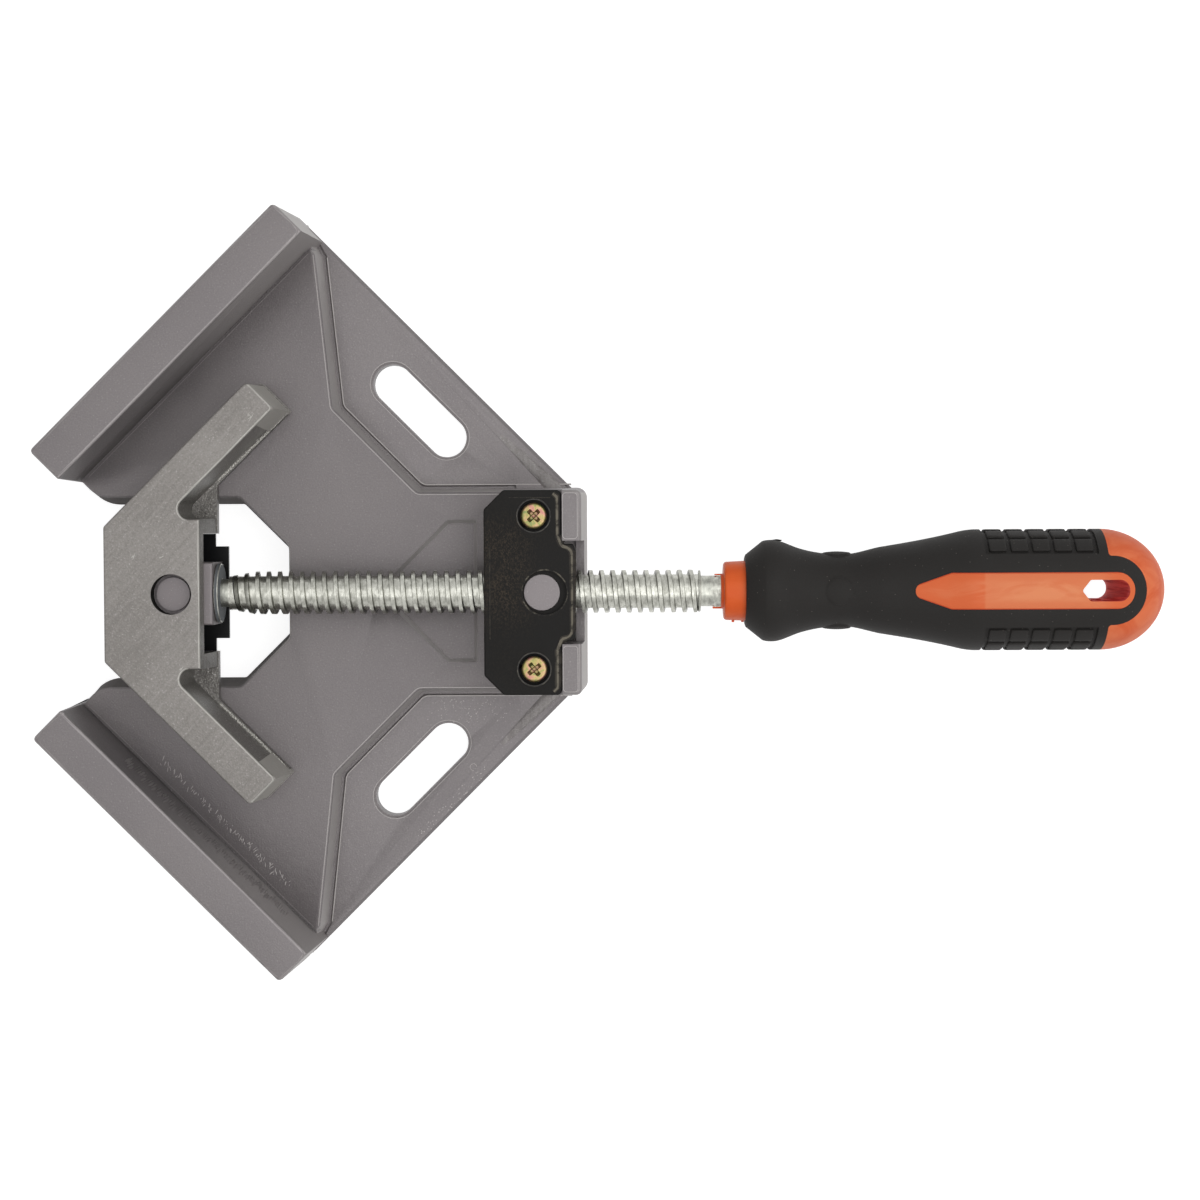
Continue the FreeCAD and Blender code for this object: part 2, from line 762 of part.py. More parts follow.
def bend(x1, r1, slope1, x2, r2, slope2):
    """A smooth curve between two stations of the handle's profile, in the XZ plane."""
    third = (x2 - x1) / 3.0
    poles = [(x1, r1), (x1 + third, r1 + slope1 * third), (x2 - third, r2 - slope2 * third), (x2, r2)]
    curve = Part.BezierCurve()
    curve.setPoles([V(x, 0, axis_z + r) for x, r in poles])
    return curve.toShape()


def handle_form(inset):
    """The turned form of the whole handle, at a depth below the grip's surface."""
    rise = (body_r - taper_r) / (body_x - taper_x)
    throat_inner = throat_r - inset
    front = [V(grip_x, 0, axis_z)]
    if inset == 0.0:
        front += [V(grip_x, 0, axis_z + grip_front_r - grip_front_edge)]
        front += [V(grip_x + grip_front_edge, 0, axis_z + grip_front_r)]
    else:
        front += [V(grip_x, 0, axis_z + collar_r)]
    front += [V(shoulder_x, 0, axis_z + shoulder_r - inset)]
    edges = [Part.makeLine(a, b) for a, b in zip(front, front[1:])]
    edges.append(bend(shoulder_x, shoulder_r - inset, shoulder_slope, bulge_x, bulge_r - inset, 0.0))
    edges.append(bend(bulge_x, bulge_r - inset, 0.0, throat_x, throat_inner, throat_slope))
    edges.append(bend(throat_x, throat_inner, throat_slope, waist_x, waist_r - inset, 0.0))
    edges.append(bend(waist_x, waist_r - inset, 0.0, taper_x, taper_r - inset, rise))
    long_axis = dome_length - inset
    short_axis = body_r - inset
    tip = V(grip_end_x + long_axis, 0, axis_z)
    centre = V(grip_end_x, 0, axis_z)
    body_start = V(body_x, 0, axis_z + short_axis)
    edges.append(bend(taper_x, taper_r - inset, taper_slope, body_x, short_axis, body_slope))
    edges.append(Part.makeLine(body_start, centre + V(0, 0, short_axis)))
    if long_axis > short_axis:
        dome = Part.Ellipse(tip, centre + V(0, 0, short_axis), centre)
        first, last = 0.0, math.pi / 2
    else:
        dome = Part.Ellipse(centre + V(0, 0, short_axis), centre - V(long_axis, 0, 0), centre)
        first, last = -math.pi / 2, 0.0
    edges.append(dome.toShape(first, last))
    edges.append(Part.makeLine(tip, front[0]))
    face = Part.Face(Part.Wire(Part.__sortEdges__(edges)))
    return face.revolve(V(0, 0, axis_z), V(1, 0, 0), 360)


def inlay_column():
    """The inlay's outline, pointed at the front and round at the end, right through the handle."""
    far = 2 * body_r
    points = mirrored([
        corner(inlay_end_x, inlay_half, 0.98 * inlay_half),
        corner(inlay_full_x, inlay_half, inlay_flank_round),
        corner(inlay_tip_x, inlay_tip_half, 0.5 * inlay_tip_half),
    ])
    return prism(points, axis_z - far, axis_z + far)


def lobe_column():
    """The black lobe that runs round the inlay's end into the dome."""
    far = 2 * body_r
    end_x = inlay_end_x + lobe_margin
    start_x = grip_end_x - lobe_half
    points = mirrored([corner(end_x, lobe_half, 0.98 * lobe_half), corner(start_x, lobe_half)])
    return prism(points, axis_z - far, axis_z + far)


def hanging_hole():
    """The hole through the handle's end, pointed at the front and round at the end."""
    far = 2 * body_r
    points = mirrored([
        corner(hole_x2, hole_half, 0.95 * hole_half),
        corner(hole_x1 + 0.8 * hole_point, hole_half, 0.3 * hole_half),
        corner(hole_x1 - 0.2 * hole_point, 0.0, 0.3 * hole_half),
    ])
    del points[2]
    return prism(points, axis_z - far, axis_z + far)


def grip_grooves():
    """Grooves that part the grip blocks, on the two sides of the grip."""
    gap = block_pitch - block_length
    x1 = block_first_x - 0.5 * block_length - gap
    x2 = x1 + block_count * block_pitch + gap
    span = row_count * row_pitch_deg
    grooves = []
    for side in (90.0, 270.0):
        start = side - 0.5 * span
        for i in range(block_count + 1):
            x = x1 + i * block_pitch
            r1 = body_r - groove_depth
            r2 = body_r + groove_depth
            loop = Part.makePolygon([V(x, 0, axis_z + r1), V(x + gap, 0, axis_z + r1),
                                     V(x + gap, 0, axis_z + r2), V(x, 0, axis_z + r2), V(x, 0, axis_z + r1)])
            ring = Part.Face(loop)
            ring.rotate(V(0, 0, axis_z), V(1, 0, 0), start)
            grooves.append(ring.revolve(V(0, 0, axis_z), V(1, 0, 0), span))
        for j in range(row_count + 1):
            low_corner = V(x1, -0.5 * gap, axis_z + body_r - groove_depth)
            bar = Part.makeBox(x2 - x1, gap, 2 * groove_depth, low_corner)
            bar.rotate(V(0, 0, axis_z), V(1, 0, 0), start + j * row_pitch_deg)
            grooves.append(bar)
    return grooves


def handle_pieces():
    """The orange core and the black grip moulded over it, cut from one turned form."""
    whole = handle_form(0.0)
    inner = handle_form(grip_skin)
    far = 4 * body_r
    sleeve = prism(rectangle(grip_x, grip_end_x, far), axis_z - far, axis_z + far)
    reach = sleeve.fuse(lobe_column())
    grip = whole.common(reach).cut([inner, inlay_column()])
    collar = along_axis(collar_x, grip_x + grip_skin, collar_r)
    bore = along_axis(collar_x, collar_x + shank_length + face_gap, shank_r + bore_gap)
    core = whole.cut(hanging_hole()).cut(grip).fuse(collar).cut(bore).removeSplitter()
    grip = grip.cut(grip_grooves()).removeSplitter()
    return core, grip


def write(name, shape):
    shape.exportStep("parts/" + name + ".step")


os.makedirs("parts", exist_ok=True)
write("base_casting", base_casting())
write("nut_cover", nut_cover())
write("cover_screw_1", cover_screw(cover_screw_y))
write("cover_screw_2", cover_screw(-cover_screw_y))
write("nut_block", nut_block())
write("spindle_screw", spindle_screw())
write("thrust_washer", thrust_washer())
write("retaining_ring", retaining_ring())
write("head_block", head_block())
write("jaw_casting", jaw_casting())
write("keeper_plate", keeper_plate())
write("keeper_screw_1", keeper_screw(keeper_screw_y))
write("keeper_screw_2", keeper_screw(-keeper_screw_y))
handle_core, handle_grip = handle_pieces()
write("handle_core", handle_core)
write("handle_grip", handle_grip)
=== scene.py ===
import math

import bmesh
import bpy
from mathutils import Matrix, Vector


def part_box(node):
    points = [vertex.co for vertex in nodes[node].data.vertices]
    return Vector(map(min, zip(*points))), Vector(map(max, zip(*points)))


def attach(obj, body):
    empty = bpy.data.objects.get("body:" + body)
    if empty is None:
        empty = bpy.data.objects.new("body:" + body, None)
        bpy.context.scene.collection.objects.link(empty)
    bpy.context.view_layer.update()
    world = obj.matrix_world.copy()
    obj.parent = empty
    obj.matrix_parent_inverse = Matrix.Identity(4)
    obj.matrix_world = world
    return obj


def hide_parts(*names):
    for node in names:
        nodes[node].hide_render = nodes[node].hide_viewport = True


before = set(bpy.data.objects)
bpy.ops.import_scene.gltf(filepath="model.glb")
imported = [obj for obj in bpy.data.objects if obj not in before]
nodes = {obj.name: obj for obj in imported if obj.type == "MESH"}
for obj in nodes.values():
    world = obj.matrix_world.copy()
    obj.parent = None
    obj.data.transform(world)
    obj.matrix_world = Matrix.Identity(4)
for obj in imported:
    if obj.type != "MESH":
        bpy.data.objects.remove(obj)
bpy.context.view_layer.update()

MM = 0.001

# Sizes shared with the solids, in millimetres
AXIS_Z = 25.2
THREAD_START = -84.6
THREAD_END = 42.6
PITCH = 3.0
CREST_R = 5.8
ROOT_R = 4.55
SHANK_R = 4.15
JOURNAL_R = 3.6
NECK_R = 3.8
COVER_TOP = 36.0
COLLAR_X = 48.8
COLLAR_R = 8.0
GRIP_X = 54.6
GRIP_FRONT_R = 10.0
SHOULDER_X = 59.3
SHOULDER_R = 13.4
BULGE_X = 61.8
BULGE_R = 13.75
THROAT_X = 69.4
THROAT_R = 11.4
THROAT_SLOPE = -0.3
WAIST_X = 81.0
WAIST_R = 9.75
TAPER_X = 91.0
TAPER_R = 11.7
TAPER_SLOPE = 0.16
BODY_X = 114.5
BODY_R = 16.35
BODY_SLOPE = 0.25
GRIP_END_X = 150.2
DOME_LENGTH = 17.4
GRIP_SKIN = 3.0
BLOCK_FIRST_X = 121.2
BLOCK_PITCH = 5.76
BLOCK_LENGTH = 4.6
BLOCK_COUNT = 5
BLOCK_DEPTH = 0.8
ROW_PITCH_DEG = 20.5
ROW_COUNT = 5
INLAY_TIP_X = 99.2
INLAY_FULL_X = 108.6
INLAY_HALF = 4.85
INLAY_TIP_HALF = 1.5
INLAY_END_X = 156.8
INLAY_ROOM = 0.06

# How far a drawn line stands out of its face, and how deep its foot lies below
DRAWN_RISE = 0.03
DRAWN_FOOT = 0.4


# Small tools for node trees, shader and geometry alike

class Wire:
    """A node's output, which can be reckoned with like a number, or with vector() like a place."""

    def __init__(self, socket):
        self.socket = socket
        self.tree = socket.id_data

    def step(self, operation, *others, kind="ShaderNodeMath"):
        values = dict(enumerate((self,) + others))
        return Wire(add(self.tree, kind, values, operation=operation).outputs[0])

    def vector(self, operation, *others):
        return self.step(operation, *others, kind="ShaderNodeVectorMath")

    __add__ = lambda self, other: self.step("ADD", other)
    __sub__ = lambda self, other: self.step("SUBTRACT", other)
    __mul__ = lambda self, other: self.step("MULTIPLY", other)
    __truediv__ = lambda self, other: self.step("DIVIDE", other)


def plug(value, socket):
    """Links a wire to an input, or sets the input to a plain value."""
    if isinstance(value, Wire):
        value.tree.links.new(value.socket, socket)
    else:
        socket.default_value = value


def add(tree, kind, inputs=None, **settings):
    """A node with its settings, and its inputs linked or set by name or number."""
    made = tree.nodes.new(kind)
    for name, value in settings.items():
        setattr(made, name, value)
    for name, value in (inputs or {}).items():
        plug(value, made.inputs[name])
    return made


def after(wire, kind, inputs, output=0, **settings):
    """One output of a new node in the same tree as a wire."""
    return Wire(add(wire.tree, kind, inputs, **settings).outputs[output])


def smooth(value, low, high, from_value=0.0, to_value=1.0):
    """A soft step of the value between low and high."""
    return after(value, "ShaderNodeMapRange", {"Value": value, "From Min": low, "From Max": high,
                                               "To Min": from_value, "To Max": to_value},
                 "Result", interpolation_type="SMOOTHSTEP")


def blend(share, first, second, kind):
    """Two colours or places mixed by a share; kind is RGBA or VECTOR."""
    made = add(share.tree, "ShaderNodeMix", {"Factor": share}, data_type=kind)
    ends = [socket for socket in made.inputs if socket.type == kind and socket.name in ("A", "B")]
    for socket, value in zip(ends, (first, second)):
        plug(value, socket)
    return Wire([socket for socket in made.outputs if socket.type == kind][0])


def axes(spot):
    """The X, Y and Z of a place."""
    return [Wire(socket) for socket in add(spot.tree, "ShaderNodeSeparateXYZ", {0: spot}).outputs]


# Materials

def rgb(red, green, blue):
    """A screen colour from 0 to 255, as the linear colour that a shader takes."""
    def linear(value):
        value = value / 255.0
        return value / 12.92 if value <= 0.04045 else ((value + 0.055) / 1.055) ** 2.4
    return (linear(red), linear(green), linear(blue), 1.0)


def finish(name):
    """A new material, and the place on the object's own coordinates that its patterns start from."""
    made = bpy.data.materials.new(name)
    made.use_nodes = True
    return made, Wire(add(made.node_tree, "ShaderNodeTexCoord").outputs["Object"])


def surfaced(made, colour, rough, height, depth, metal=0.0, gloss=0.5):
    """The material with its Principled shader wired up; depth in millimetres is that of the relief."""
    relief = after(height, "ShaderNodeBump", {"Height": height, "Distance": depth * MM, "Strength": 1.0},
                   "Normal")
    surface = made.node_tree.nodes["Principled BSDF"].inputs
    for name, value in (("Base Color", colour), ("Roughness", rough), ("Metallic", metal),
                        ("Specular IOR Level", gloss), ("Normal", relief)):
        plug(value, surface[name])
    return made


def noise(spot, scale, detail=3.0, roughness=0.55, distortion=0.0):
    """Noise at a place; scale is in waves per millimetre."""
    return after(spot, "ShaderNodeTexNoise", {"Vector": spot, "Scale": scale / MM, "Detail": detail,
                                              "Roughness": roughness, "Distortion": distortion}, "Fac")


def stretched(spot, scale=(1, 1, 1), turn=0.0):
    """The place scaled along its axes, then turned about Z."""
    return after(spot, "ShaderNodeMapping", {"Vector": spot, "Scale": scale, "Rotation": (0, 0, turn)})


def mixed(share, first, second):
    """Two colours mixed by a share, each of them a wire or screen values from 0 to 255."""
    colours = [colour if isinstance(colour, Wire) else rgb(*colour) for colour in (first, second)]
    return blend(share, *colours, "RGBA")


def cast_paint(name, dark, light, rough, painted_glint, grain_depth, metal=0.35, gloss=0.5, fine=0.25, sanded=0.0,
               heading=0.75, fade=None):
    """Satin silver paint on a casting: faint clouds, fine flakes with painted glints, an orange-peel surface,
    lines of sanding.

    heading turns the sanding lines from the Y axis towards X, in radians. fade gives two places along X in
    millimetres between which the paint turns to a second colour, a painted reflection.
    """
    made, spot = finish(name)
    clouds = noise(spot, 0.03, 4.0)
    flakes = noise(spot, 2.2, 2.0)
    peel = noise(spot, 0.55, 3.0)
    shade = clouds * (1.0 - fine) + flakes * fine
    if sanded:
        lines = noise(stretched(stretched(spot, turn=heading), (1.0, 0.05, 1.0)), 1.1, 3.0)
        shade = shade + (lines - 0.5) * sanded
    colour = mixed(smooth(shade, 0.3, 0.7), dark, light)
    if fade:
        start, end, second = fade
        colour = mixed(smooth(axes(spot)[0], start * MM, end * MM), colour, second)
    # Painted glints: a near-white colour mixed in on the brightest flakes
    colour = mixed(smooth(flakes, 0.62, 0.8) * painted_glint, colour, (235, 233, 230))
    return surfaced(made, colour, smooth(clouds, 0.2, 0.8, rough - 0.05, rough + 0.08), peel + flakes * 0.5,
                    grain_depth, metal, gloss)


def zinc(name, dark, light, rough):
    """Zinc plating with painted shade on the thread's flanks, so that crests and roots stay bright, with dark
    specks and small scuffs.
    """
    made, spot = finish(name)
    across, high = axes(spot)[1:]
    radius = (across.step("POWER", 2.0) + (high - AXIS_Z * MM).step("POWER", 2.0)).step("SQRT")
    flank_shade = smooth(radius, (ROOT_R + 0.08) * MM, (ROOT_R + 0.35) * MM) * smooth(
        radius, (CREST_R - 0.4) * MM, (CREST_R - 0.12) * MM, 1.0, 0.0)
    scuffs = noise(stretched(spot, (1.0, 0.5, 0.5)), 0.9, 5.0, 0.65)
    lines = noise(stretched(spot, (0.08, 1.0, 1.0)), 1.8, 4.0)
    pits = noise(spot, 2.4, 3.0, 0.7)
    colour = mixed(smooth(scuffs, 0.3, 0.66), dark, light)
    # Painted shade: the thread's flanks darkened, found by their distance from the axis
    colour = mixed(flank_shade * 0.75, colour, (78, 78, 70))
    colour = mixed(smooth(pits, 0.66, 0.74, 0.0, 0.8), colour, (62, 58, 50))
    return surfaced(made, colour, smooth(scuffs, 0.3, 0.7, rough + 0.14, rough), scuffs + lines * 0.6, 0.05,
                    metal=1.0)


def machined(name, tint, rough):
    """Turned or milled steel with fine tool lines."""
    made, spot = finish(name)
    lines = noise(stretched(spot, (0.2, 2.0, 1.0)), 1.2, 3.0)
    return surfaced(made, mixed(lines, tint, (150, 150, 152)), rough, lines, 0.02, 0.9)


def rainbow_zinc(name, shade=1.0):
    """Yellow zinc plating that turns to pink and green in soft patches; shade below 1 darkens it as painted
    shade for a recess.
    """
    made, spot = finish(name)
    patches = noise(spot, 0.5, 3.0, 0.6, 0.6)
    ramp = add(spot.tree, "ShaderNodeValToRGB", {"Fac": patches})
    stops = ramp.color_ramp.elements
    stops[0].position = 0.38
    stops[1].position = 0.62
    stops.new(0.45)
    stops.new(0.54)
    for stop, colour in zip(stops, ((172, 122, 110), (174, 144, 110), (158, 146, 92), (118, 130, 82))):
        stop.color = rgb(*(value * shade for value in colour))
    grain = noise(spot, 2.0, 2.0)
    return surfaced(made, Wire(ramp.outputs["Color"]), smooth(grain, 0.3, 0.7, 0.3, 0.42), grain, 0.05, 0.8)


def worn_plastic(name):
    """Black moulded plastic with brown speckle, strongest left of the middle, and a few fine scratches."""
    made, spot = finish(name)
    along, across = axes(spot)[:2]
    left = smooth(along, -10.0 * MM, 3.0 * MM, 1.0, 0.12)
    middle_part = smooth((across - 5.0 * MM).step("ABSOLUTE"), 5.0 * MM, 18.0 * MM, 1.0, 0.12)
    areas = noise(spot, 0.06, 3.0)
    specks = noise(stretched(spot, (1.0, 0.7, 1.0), 0.4), 2.6, 5.0, 0.75)
    scratches = noise(stretched(spot, (1.6, 0.06, 1.0), 0.2), 1.1, 3.0)
    amount = left * middle_part * smooth(specks, 0.44, 0.7) * smooth(areas, 0.35, 0.6, 0.35, 1.0)
    colour = mixed(amount * 0.75, (26, 25, 24), (84, 74, 62))
    colour = mixed(smooth(scratches, 0.7, 0.78, 0.0, 0.16), colour, (96, 90, 84))
    return surfaced(made, colour, smooth(areas, 0.3, 0.7, 0.46, 0.56), specks, 0.04, gloss=0.12)


def rubbed_edge(name, pale, least):
    """The same plastic where handling has rubbed it pale, in broken stretches."""
    made, spot = finish(name)
    breaks = noise(spot, 0.45, 5.0, 0.68)
    colour = mixed(smooth(breaks, least, least + 0.26), (27, 25, 24), pale)
    return surfaced(made, colour, 0.5, breaks, 0.05, gloss=0.15)


def moulded(name, dark, light, rough, grain_depth, gloss=0.5):
    """Moulded plastic or rubber: even colour with faint clouds and a fine grain."""
    made, spot = finish(name)
    clouds = noise(spot, 0.06, 4.0)
    return surfaced(made, mixed(clouds, dark, light), smooth(clouds, 0.2, 0.8, rough - 0.04, rough + 0.05),
                    noise(spot, 3.0, 2.0), grain_depth, gloss=gloss)


def dusty_rubber(name):
    """Matt black rubber with pale dust specks."""
    made, spot = finish(name)
    clouds = noise(spot, 0.06, 4.0)
    dust = after(spot, "ShaderNodeTexVoronoi", {"Vector": spot, "Scale": 0.55 / MM, "Randomness": 1.0},
                 "Distance")
    colour = mixed(clouds, (34, 32, 31), (40, 38, 36))
    colour = mixed(smooth(dust, 0.03, 0.09, 0.45, 0.0), colour, (130, 124, 118))
    return surfaced(made, colour, smooth(clouds, 0.2, 0.8, 0.62, 0.72), noise(spot, 2.6, 2.0), 0.05,
                    gloss=0.22)


def banded_red_painted_glow(name):
    """Deep red wall of the hanging hole with upright tool marks, made to glow faintly by emission as painted
    light.
    """
    made, spot = finish(name)
    bands = noise(stretched(spot, (1.0, 1.0, 0.04)), 0.9, 3.0, 0.6)
    red = mixed(smooth(bands, 0.38, 0.62), (206, 74, 72), (240, 116, 108))
    surface = made.node_tree.nodes["Principled BSDF"].inputs
    # Painted light: the wall glows faintly in its own red
    plug(red, surface["Emission Color"])
    plug(0.09, surface["Emission Strength"])
    return surfaced(made, red, 0.6, bands, 0.05, gloss=0.2)


def flow_orange(name, dark, light, rough):
    """Orange plastic with the soft flow marks of moulding."""
    made, spot = finish(name)
    flow = noise(stretched(spot, (0.6, 1.0, 1.0)), 0.1, 3.0, 0.5, 2.0)
    return surfaced(made, mixed(smooth(flow, 0.3, 0.7), dark, light), rough, noise(spot, 2.6, 2.0), 0.03,
                    gloss=0.25)


def flowed_inlay(name, rim, front, body, pale):
    """The inlay's orange: deeper at its rim, its tapered front and the hole, paler along the middle."""
    made, spot = finish(name)
    along, across = axes(spot)[:2]
    slope = (INLAY_HALF - INLAY_TIP_HALF) / (INLAY_FULL_X - INLAY_TIP_X)
    narrow = (along - INLAY_TIP_X * MM) * slope + INLAY_TIP_HALF * MM
    to_rim = narrow.step("MINIMUM", INLAY_HALF * MM) - across.step("ABSOLUTE")
    blots = noise(stretched(spot, (0.35, 1.0, 1.0)), 0.16, 4.0, 0.55, 1.2)
    # Painted shade: the darker front tone up to x 117 stands in for the shading change where the tapered
    # front meets the round body
    colour = mixed(smooth(along, 116.6 * MM, 117.6 * MM), front, body)
    middle_share = smooth(to_rim, 1.2 * MM, 3.2 * MM) * smooth(blots, 0.36, 0.6)
    colour = mixed(middle_share * smooth(along, 110.0 * MM, 124.0 * MM, 0.3, 1.0), colour, pale)
    colour = mixed(smooth(along, 146.0 * MM, 153.0 * MM), colour, front)
    colour = mixed(smooth(to_rim, 0.05 * MM, 0.45 * MM, 0.9, 0.0), colour, rim)
    return surfaced(made, colour, 0.55, noise(spot, 2.6, 2.0), 0.04, gloss=0.25)


# The base's paint, with a darker copy for the inner floor (painted shade) and a lighter copy for the wings
# (painted light)
base_paint, floor_painted_shade, wing_painted_light = (
    cast_paint(name, dark, light, 0.42, 0.12, 0.06, fine=0.45)
    for name, dark, light in (("base_paint", (112, 107, 108), (126, 121, 121)),
                              ("floor_painted_shade", (106, 101, 102), (121, 116, 116)),
                              ("wing_painted_light", (116, 111, 112), (131, 126, 126))))
# The fences' working faces: a slightly lighter copy of the paint (painted light), turning pale away from the
# corner as a painted reflection of the bright surround
fence_wall_painted_reflection = cast_paint("fence_wall_painted_reflection", (114, 109, 110), (130, 125, 125), 0.5, 0.12, 0.06, 0.1, 0.2, 0.45,
                        fade=(-112.0, -72.0, (156, 151, 150)))
# Lighter paint for the base's rounded edges, the fence tops' edges, the line at the fences' feet and the
# ripple ticks on the lower fence's wall: painted edge highlight
base_edge_highlight = cast_paint("base_edge_highlight", (136, 131, 131), (150, 145, 144), 0.34, 0.1, 0.03)
# A much lighter copy of the paint for the steep walls of the arrow and of the strip between floor and wings:
# painted light
flank_painted_light = cast_paint("flank_painted_light", (164, 159, 158), (178, 174, 172), 0.6, 0.25, 0.05, 0.1, 0.2)
# A lighter copy of the paint for the notch's end walls, which stand in little light: painted light
notch_wall_painted_light = cast_paint("notch_wall_painted_light", (120, 116, 115), (134, 130, 129), 0.75, 0.1, 0.06, 0.0, 0.05)
# Sanding lines on the gussets' slopes, with the paint made paler there as a painted highlight
gusset_sanding_and_highlight = cast_paint("gusset_sanding_and_highlight", (126, 121, 120), (160, 156, 154), 0.5, 0.5, 0.1, 0.2, 0.3, 0.3,
                        sanded=0.5, heading=0.0)
# Near-black for the jaw's pivot bore: painted shade inside the hole
bore_painted_shade = cast_paint("bore_painted_shade", (26, 25, 24), (36, 35, 33), 0.7, 0.0, 0.03, 0.0, 0.05)
# Pale paint on faces that turn towards +X, the fences' far ends and the housing's end walls: painted light
base_painted_light = cast_paint("base_painted_light", (176, 171, 169), (188, 184, 181), 0.5, 0.1, 0.05, 0.1, 0.4)
# Pale paint for drawn lines: painted highlights along rounded edges, and pale casting marks
pale_marks_and_highlight = cast_paint("pale_marks_and_highlight", (166, 161, 159), (188, 184, 181), 0.4, 0.2, 0.03, 0.2, 0.3)
# Dark paint for the line in the seam between floor and wing: painted shade in the crease
seam_painted_shade = cast_paint("seam_painted_shade", (74, 70, 70), (86, 82, 82), 0.8, 0.0, 0.03, 0.0, 0.05)
jaw_cast = cast_paint("jaw_cast", (121, 117, 113), (147, 143, 139), 0.5, 0.25, 0.12, fine=0.45, sanded=0.3)
# Near-white for grains on the flanges' rims: painted glints
jaw_glint = cast_paint("jaw_glint", (186, 184, 176), (214, 212, 205), 0.35, 0.4, 0.04, 0.5, 0.5)
# Pale paint for the arms' end faces that turn towards +X: painted light
jaw_tip_painted_light = cast_paint("jaw_tip_painted_light", (166, 163, 157), (184, 181, 175), 0.5, 0.3, 0.08, 0.1, 0.2)
# Lighter paint for the jaw's rounded edges and the top's edges that face +X: painted highlight; also the
# colour of the blemishes on the top
jaw_highlight_and_blemish = cast_paint("jaw_highlight_and_blemish", (160, 158, 152), (178, 176, 170), 0.35, 0.2, 0.04)
jaw_side = cast_paint("jaw_side", (92, 89, 86), (128, 125, 120), 0.36, 0.7, 0.2, fine=0.6)
stud_grey = cast_paint("stud_grey", (124, 118, 119), (134, 128, 129), 0.42, 0.15, 0.04)
head_grey = cast_paint("head_grey", (116, 110, 111), (126, 120, 121), 0.42, 0.15, 0.04)
spindle_zinc = zinc("spindle_zinc", (142, 142, 134), (190, 190, 182), 0.24)
shank_zinc = zinc("shank_zinc", (136, 136, 130), (184, 185, 176), 0.3)
washer_face = cast_paint("washer_face", (98, 101, 104), (108, 111, 114), 0.6, 0.1, 0.03, 0.0, 0.1)
screw_zinc = rainbow_zinc("screw_zinc")
# The same plating darkened for the screws' cross recesses: painted shade
recess_zinc_painted_shade = rainbow_zinc("recess_zinc_painted_shade", 0.85)
nut_steel = machined("nut_steel", (96, 96, 98), 0.42)
cover_black = worn_plastic("cover_black")
cover_edge = moulded("cover_edge", (30, 28, 27), (42, 39, 36), 0.4, 0.03)
cover_worn = rubbed_edge("cover_worn", (118, 112, 100), 0.3)
cover_halo = rubbed_edge("cover_halo", (60, 56, 50), 0.34)
cover_chips = rubbed_edge("cover_chips", (112, 107, 96), 0.42)
keeper_black = moulded("keeper_black", (20, 20, 21), (26, 26, 27), 0.3, 0.02, 0.12)
grip_black = dusty_rubber("grip_black")
core_orange = flow_orange("core_orange", (232, 104, 58), (242, 128, 82), 0.5)
collar_orange = flow_orange("collar_orange", (232, 94, 38), (238, 104, 46), 0.42)
inlay_orange = flowed_inlay("inlay_orange", (208, 70, 34), (234, 112, 64), (236, 130, 84), (242, 148, 101))
hole_red_painted_glow = banded_red_painted_glow("hole_red_painted_glow")


# Small tools for meshes

def new_object(name, data):
    made = bpy.data.objects.new(name, data)
    bpy.context.scene.collection.objects.link(made)
    return made


def from_bmesh(name, bm, materials=(), sharp_deg=35.0):
    """A piece from mesh code, with its doubles merged, its faces outwards and its edges sharp by angle."""
    bmesh.ops.remove_doubles(bm, verts=bm.verts, dist=0.001 * MM)
    bmesh.ops.recalc_face_normals(bm, faces=bm.faces)
    mesh = bpy.data.meshes.new(name)
    bm.to_mesh(mesh)
    bm.free()
    mesh.polygons.foreach_set("use_smooth", [True] * len(mesh.polygons))
    mesh.set_sharp_from_angle(angle=math.radians(sharp_deg))
    for material in materials:
        mesh.materials.append(material)
    return new_object(name, mesh)


def settled(piece):
    """The piece with its modifiers made part of its mesh."""
    graph = bpy.context.evaluated_depsgraph_get()
    mesh = bpy.data.meshes.new_from_object(piece.evaluated_get(graph))
    piece.modifiers.clear()
    piece.data = mesh
    return piece


def joined(name, parts, materials, sharp_deg=35.0):
    """Several meshes as one piece; each takes the material beside it, or keeps its own picks beside None."""
    bm = bmesh.new()
    for part, material in parts:
        before = len(bm.faces)
        bm.from_mesh(part.data)
        bm.faces.ensure_lookup_table()
        if material:
            for face in bm.faces[before:]:
                face.material_index = materials.index(material)
        bpy.data.objects.remove(part)
    return from_bmesh(name, bm, materials, sharp_deg)


def finish_piece(piece, body, slot, *replaced):
    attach(piece, body)
    if replaced:
        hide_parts(*replaced)


def dressed(node, name, width, materials, pick=None, reshape=None):
    """A copy of a solid's mesh: flat faces joined up, materials picked by face, and every sharp edge rounded.

    width is that of the roundings, which take the second material.
    """
    bm = bmesh.new()
    bm.from_mesh(nodes[node].data)
    bmesh.ops.remove_doubles(bm, verts=bm.verts, dist=0.002 * MM)
    if reshape:
        bm = reshape(bm)
    bmesh.ops.dissolve_limit(bm, angle_limit=math.radians(0.3), verts=bm.verts, edges=bm.edges)
    for face in bm.faces:
        face.material_index = materials.index(pick(face)) if pick else 0
    piece = from_bmesh(name, bm, materials)
    bevel = piece.modifiers.new("soft_edges", "BEVEL")
    bevel.width = width * MM
    bevel.segments = 2
    bevel.limit_method = "ANGLE"
    bevel.angle_limit = math.radians(30.0)
    bevel.harden_normals = True
    bevel.material = 1
    return piece


def round_spindle(along, radius, angle):
    """A place in metres round the spindle's axis; angle 0 is towards +Y."""
    return Vector((along, radius * math.cos(angle), AXIS_Z + radius * math.sin(angle))) * MM


